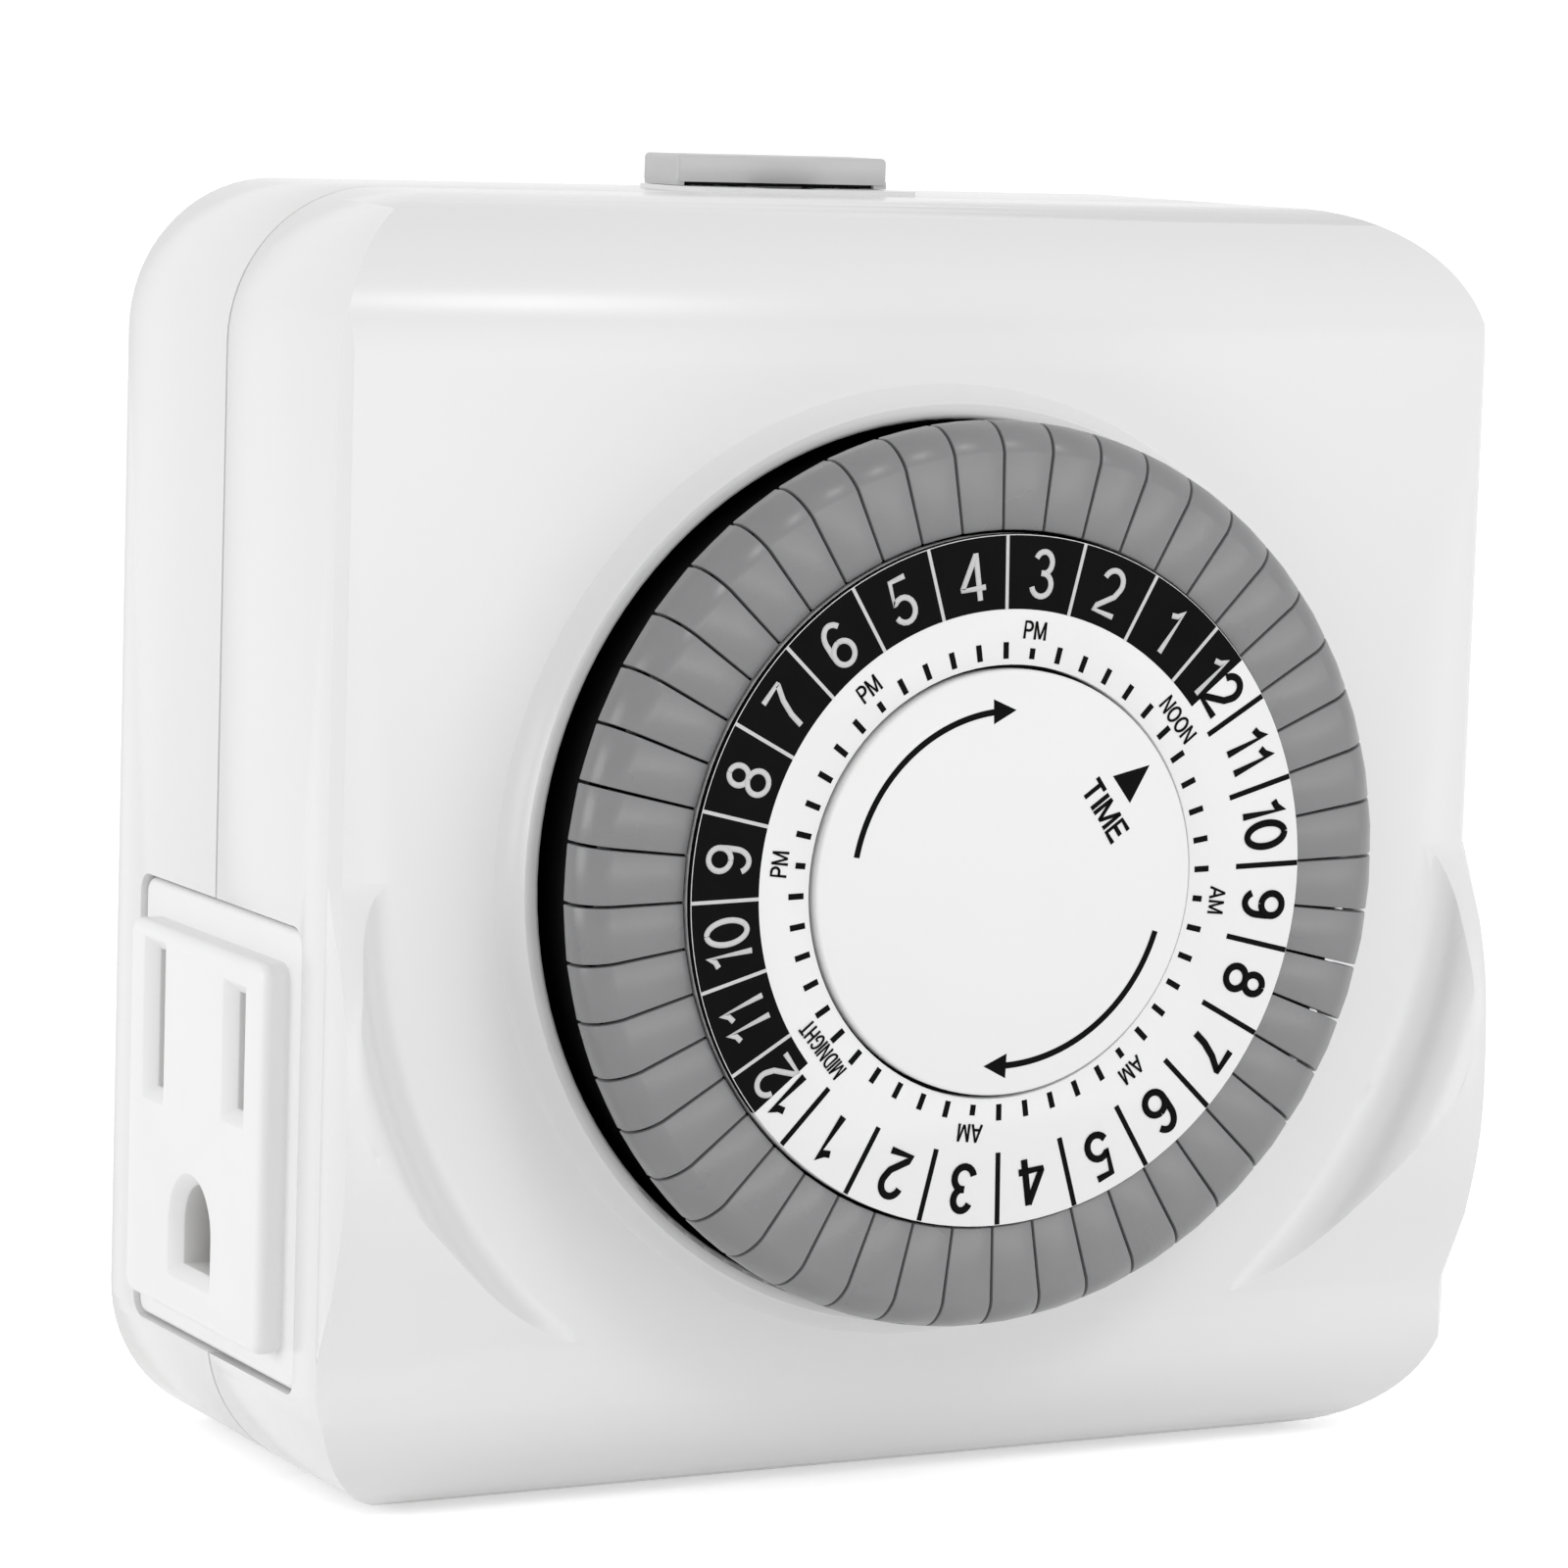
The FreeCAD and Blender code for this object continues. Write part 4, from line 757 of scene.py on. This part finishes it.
class TIMER_OT_inside(bpy.types.Operator):
    """Finishes the gears, plates, motor and conductors inside"""
    bl_idname = "timer.inside"
    bl_label = "Inside"

    def execute(self, context):
        acetal = plastic("acetal_gear", (0.78, 0.77, 0.70), gloss=(0.35, 0.5), grain=0.15 * MM)
        plate = plastic("plate_resin", (0.70, 0.70, 0.67), gloss=(0.4, 0.55), grain=0.2 * MM)
        dark = plastic("magnet_resin", (0.05, 0.05, 0.055), gloss=(0.4, 0.55), grain=0.15 * MM)
        insulator = plastic("insulator_resin", (0.04, 0.035, 0.03), gloss=(0.45, 0.6), grain=0.2 * MM)
        brass = metal("brass_strip", (0.80, 0.58, 0.27), along=(0.06, 1.0, 1.0))
        bronze = metal("spring_bronze", (0.74, 0.46, 0.27), along=(1.0, 1.0, 0.06))
        silver = metal("contact_silver", (0.82, 0.82, 0.80), along=(1.0, 1.0, 1.0))
        steel = metal("axle_steel", (0.6, 0.6, 0.61), along=(1.0, 0.06, 1.0))
        assign(("drive_pinion", "clutch_wheel", "reduction_gear", "switch_lever", "dial_post"), acetal)
        assign(("mechanism_plate", "gear_cover"), plate)
        assign(("motor_rotor",), dark)
        assign(("blade_block",), insulator)
        assign(("neutral_bus", "hot_bus", "ground_bus", "line_strip"), brass)
        assign(("contact_leaf",), bronze)
        assign(("fixed_contact",), silver)
        assign(("reduction_axle", "lever_pin", "dial_washer"), steel)
        assign(("motor_core",), wound("core_sheets", (0.42, 0.42, 0.44), 0.5 * MM, "Y", 1.0, 0.4))
        assign(("motor_coil",), wound("coil_wire", (0.62, 0.24, 0.07), 0.16 * MM, "Z", 0.7, 0.35))
        return {"FINISHED"}


LAMP_TARGET = (0.0, -0.03, 0.0)
# Name, place and size of each lamp; its power is the setting of the same first word
LAMPS = (
    ("key", (0.09, -0.46, 0.42), (0.15, 0.13)),
    ("front", (0.30, -0.86, 0.10), (0.90, 0.30)),
    ("low", (0.10, -0.60, -0.01), (0.70, 0.05)),
    ("side", (-0.72, 0.16, 0.13), (0.50, 0.35)),
)
FLOOR_SIZE = 6.0
FLOOR_RISE = (0.0, 0.4, 2.6)
FLOOR_GLOW = 0.5


class TIMER_OT_studio(bpy.types.Operator):
    """Sets up the floor, the lamps, the world and the camera"""
    bl_idname = "timer.studio"
    bl_label = "Studio"

    def execute(self, context):
        studio = context.scene.timer_studio
        scene = context.scene
        scene.view_settings.view_transform = "Standard"
        camera = bpy.data.objects.new("camera", bpy.data.cameras.new("camera"))
        scene.collection.objects.link(camera)
        camera.location = studio.camera_place
        camera.rotation_euler = studio.camera_turn
        camera.data.lens = studio.lens
        camera.data.sensor_width = 36.0
        camera.data.clip_start = 0.01
        scene.camera = camera
        self.floor()
        self.world(scene, studio.world_strength)
        for name, at, size in LAMPS:
            self.lamp(name + "_lamp", at, size, getattr(studio, name + "_power"))
        return {"FINISHED"}

    def floor(self):
        """A wide pale floor under the timer that rises behind it."""
        bpy.ops.mesh.primitive_plane_add(size=FLOOR_SIZE, location=(0.0, 0.0, floor_level))
        piece = bpy.context.object
        piece.name = "floor"
        alone(piece)
        bpy.ops.object.transform_apply(location=True)
        bpy.ops.object.mode_set(mode="EDIT")
        bpy.ops.mesh.select_all(action="DESELECT")
        bpy.ops.object.mode_set(mode="OBJECT")
        for edge in piece.data.edges:
            ends = [piece.data.vertices[i].co for i in edge.vertices]
            edge.select = all(end.y > FLOOR_SIZE / 2 - 0.1 for end in ends)
        bpy.ops.object.mode_set(mode="EDIT")
        bpy.ops.mesh.select_mode(type="EDGE")
        bpy.ops.mesh.extrude_region_move(TRANSFORM_OT_translate={"value": FLOOR_RISE})
        bpy.ops.object.mode_set(mode="OBJECT")
        material, tree, shader, coordinates = blank("pale_floor")
        tree.links.new(mottled(tree, coordinates, (0.90, 0.90, 0.90), 0.01, 0.4), shader.inputs["Base Color"])
        shader.inputs["Roughness"].default_value = 0.85
        shader.inputs["Specular IOR Level"].default_value = 0.2
        glow = node_of(tree, "ShaderNodeEmission", Strength=FLOOR_GLOW)
        mixed = tree.nodes.new("ShaderNodeAddShader")
        gate = tree.nodes.new("ShaderNodeMixShader")
        empty = node_of(tree, "ShaderNodeEmission", Strength=0.0)
        tree.links.new(seen_by(tree), gate.inputs["Fac"])
        tree.links.new(empty.outputs["Emission"], gate.inputs[1])
        tree.links.new(glow.outputs["Emission"], gate.inputs[2])
        tree.links.new(shader.outputs["BSDF"], mixed.inputs[0])
        tree.links.new(gate.outputs["Shader"], mixed.inputs[1])
        tree.links.new(mixed.outputs["Shader"], tree.nodes["Material Output"].inputs["Surface"])
        piece.data.materials.append(material)

    def world(self, scene, strength):
        """An even white surround that the camera, gloss and glass see as white."""
        world = bpy.data.worlds.new("surround")
        world.use_nodes = True
        scene.world = world
        tree = world.node_tree
        background = tree.nodes["Background"]
        background.inputs["Color"].default_value = (1.0, 1.0, 1.0, 1.0)
        background.inputs["Strength"].default_value = strength
        seen = node_of(tree, "ShaderNodeBackground", Strength=1.0)
        seen.inputs["Color"].default_value = (1.0, 1.0, 1.0, 1.0)
        gate = tree.nodes.new("ShaderNodeMixShader")
        tree.links.new(seen_by(tree), gate.inputs["Fac"])
        tree.links.new(background.outputs["Background"], gate.inputs[1])
        tree.links.new(seen.outputs["Background"], gate.inputs[2])
        tree.links.new(gate.outputs["Shader"], tree.nodes["World Output"].inputs["Surface"])

    def lamp(self, name, at, size, power):
        """A soft rectangular lamp that points at the timer."""
        data = bpy.data.lights.new(name, "AREA")
        data.shape = "RECTANGLE"
        data.size, data.size_y = size
        data.energy = power
        piece = bpy.data.objects.new(name, data)
        bpy.context.scene.collection.objects.link(piece)
        piece.location = at
        piece.rotation_euler = (Vector(LAMP_TARGET) - Vector(at)).to_track_quat("-Z", "Y").to_euler()


OPERATORS = (TIMER_OT_housing, TIMER_OT_outlets, TIMER_OT_trippers, TIMER_OT_dial_print, TIMER_OT_centre_marks,
             TIMER_OT_override, TIMER_OT_plug, TIMER_OT_inside, TIMER_OT_studio)


class TIMER_PT_panel(bpy.types.Panel):
    """Lists the steps that dress the timer"""
    bl_idname = "TIMER_PT_panel"
    bl_label = "Plug-in Timer"
    bl_space_type = "VIEW_3D"
    bl_region_type = "UI"
    bl_category = "Timer"

    def draw(self, context):
        layout = self.layout
        for group in (context.scene.timer_colours, context.scene.timer_print, context.scene.timer_studio):
            box = layout.box()
            for name in group.__annotations__:
                box.prop(group, name)
        for operator in OPERATORS:
            layout.operator(operator.bl_idname)


GROUPS = {"timer_colours": TimerColours, "timer_print": TimerPrint, "timer_studio": TimerStudio}


def register():
    for name, group in GROUPS.items():
        bpy.utils.register_class(group)
        setattr(bpy.types.Scene, name, bpy.props.PointerProperty(type=group))
    for item in OPERATORS + (TIMER_PT_panel,):
        bpy.utils.register_class(item)


def unregister():
    for item in reversed(OPERATORS + (TIMER_PT_panel,)):
        bpy.utils.unregister_class(item)
    for name, group in GROUPS.items():
        delattr(bpy.types.Scene, name)
        bpy.utils.unregister_class(group)


def main():
    """Dresses the timer step by step."""
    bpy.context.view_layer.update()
    register()
    for operator in OPERATORS:
        group, name = operator.bl_idname.split(".")
        getattr(getattr(bpy.ops, group), name)()


if __name__ == "__main__":
    main()
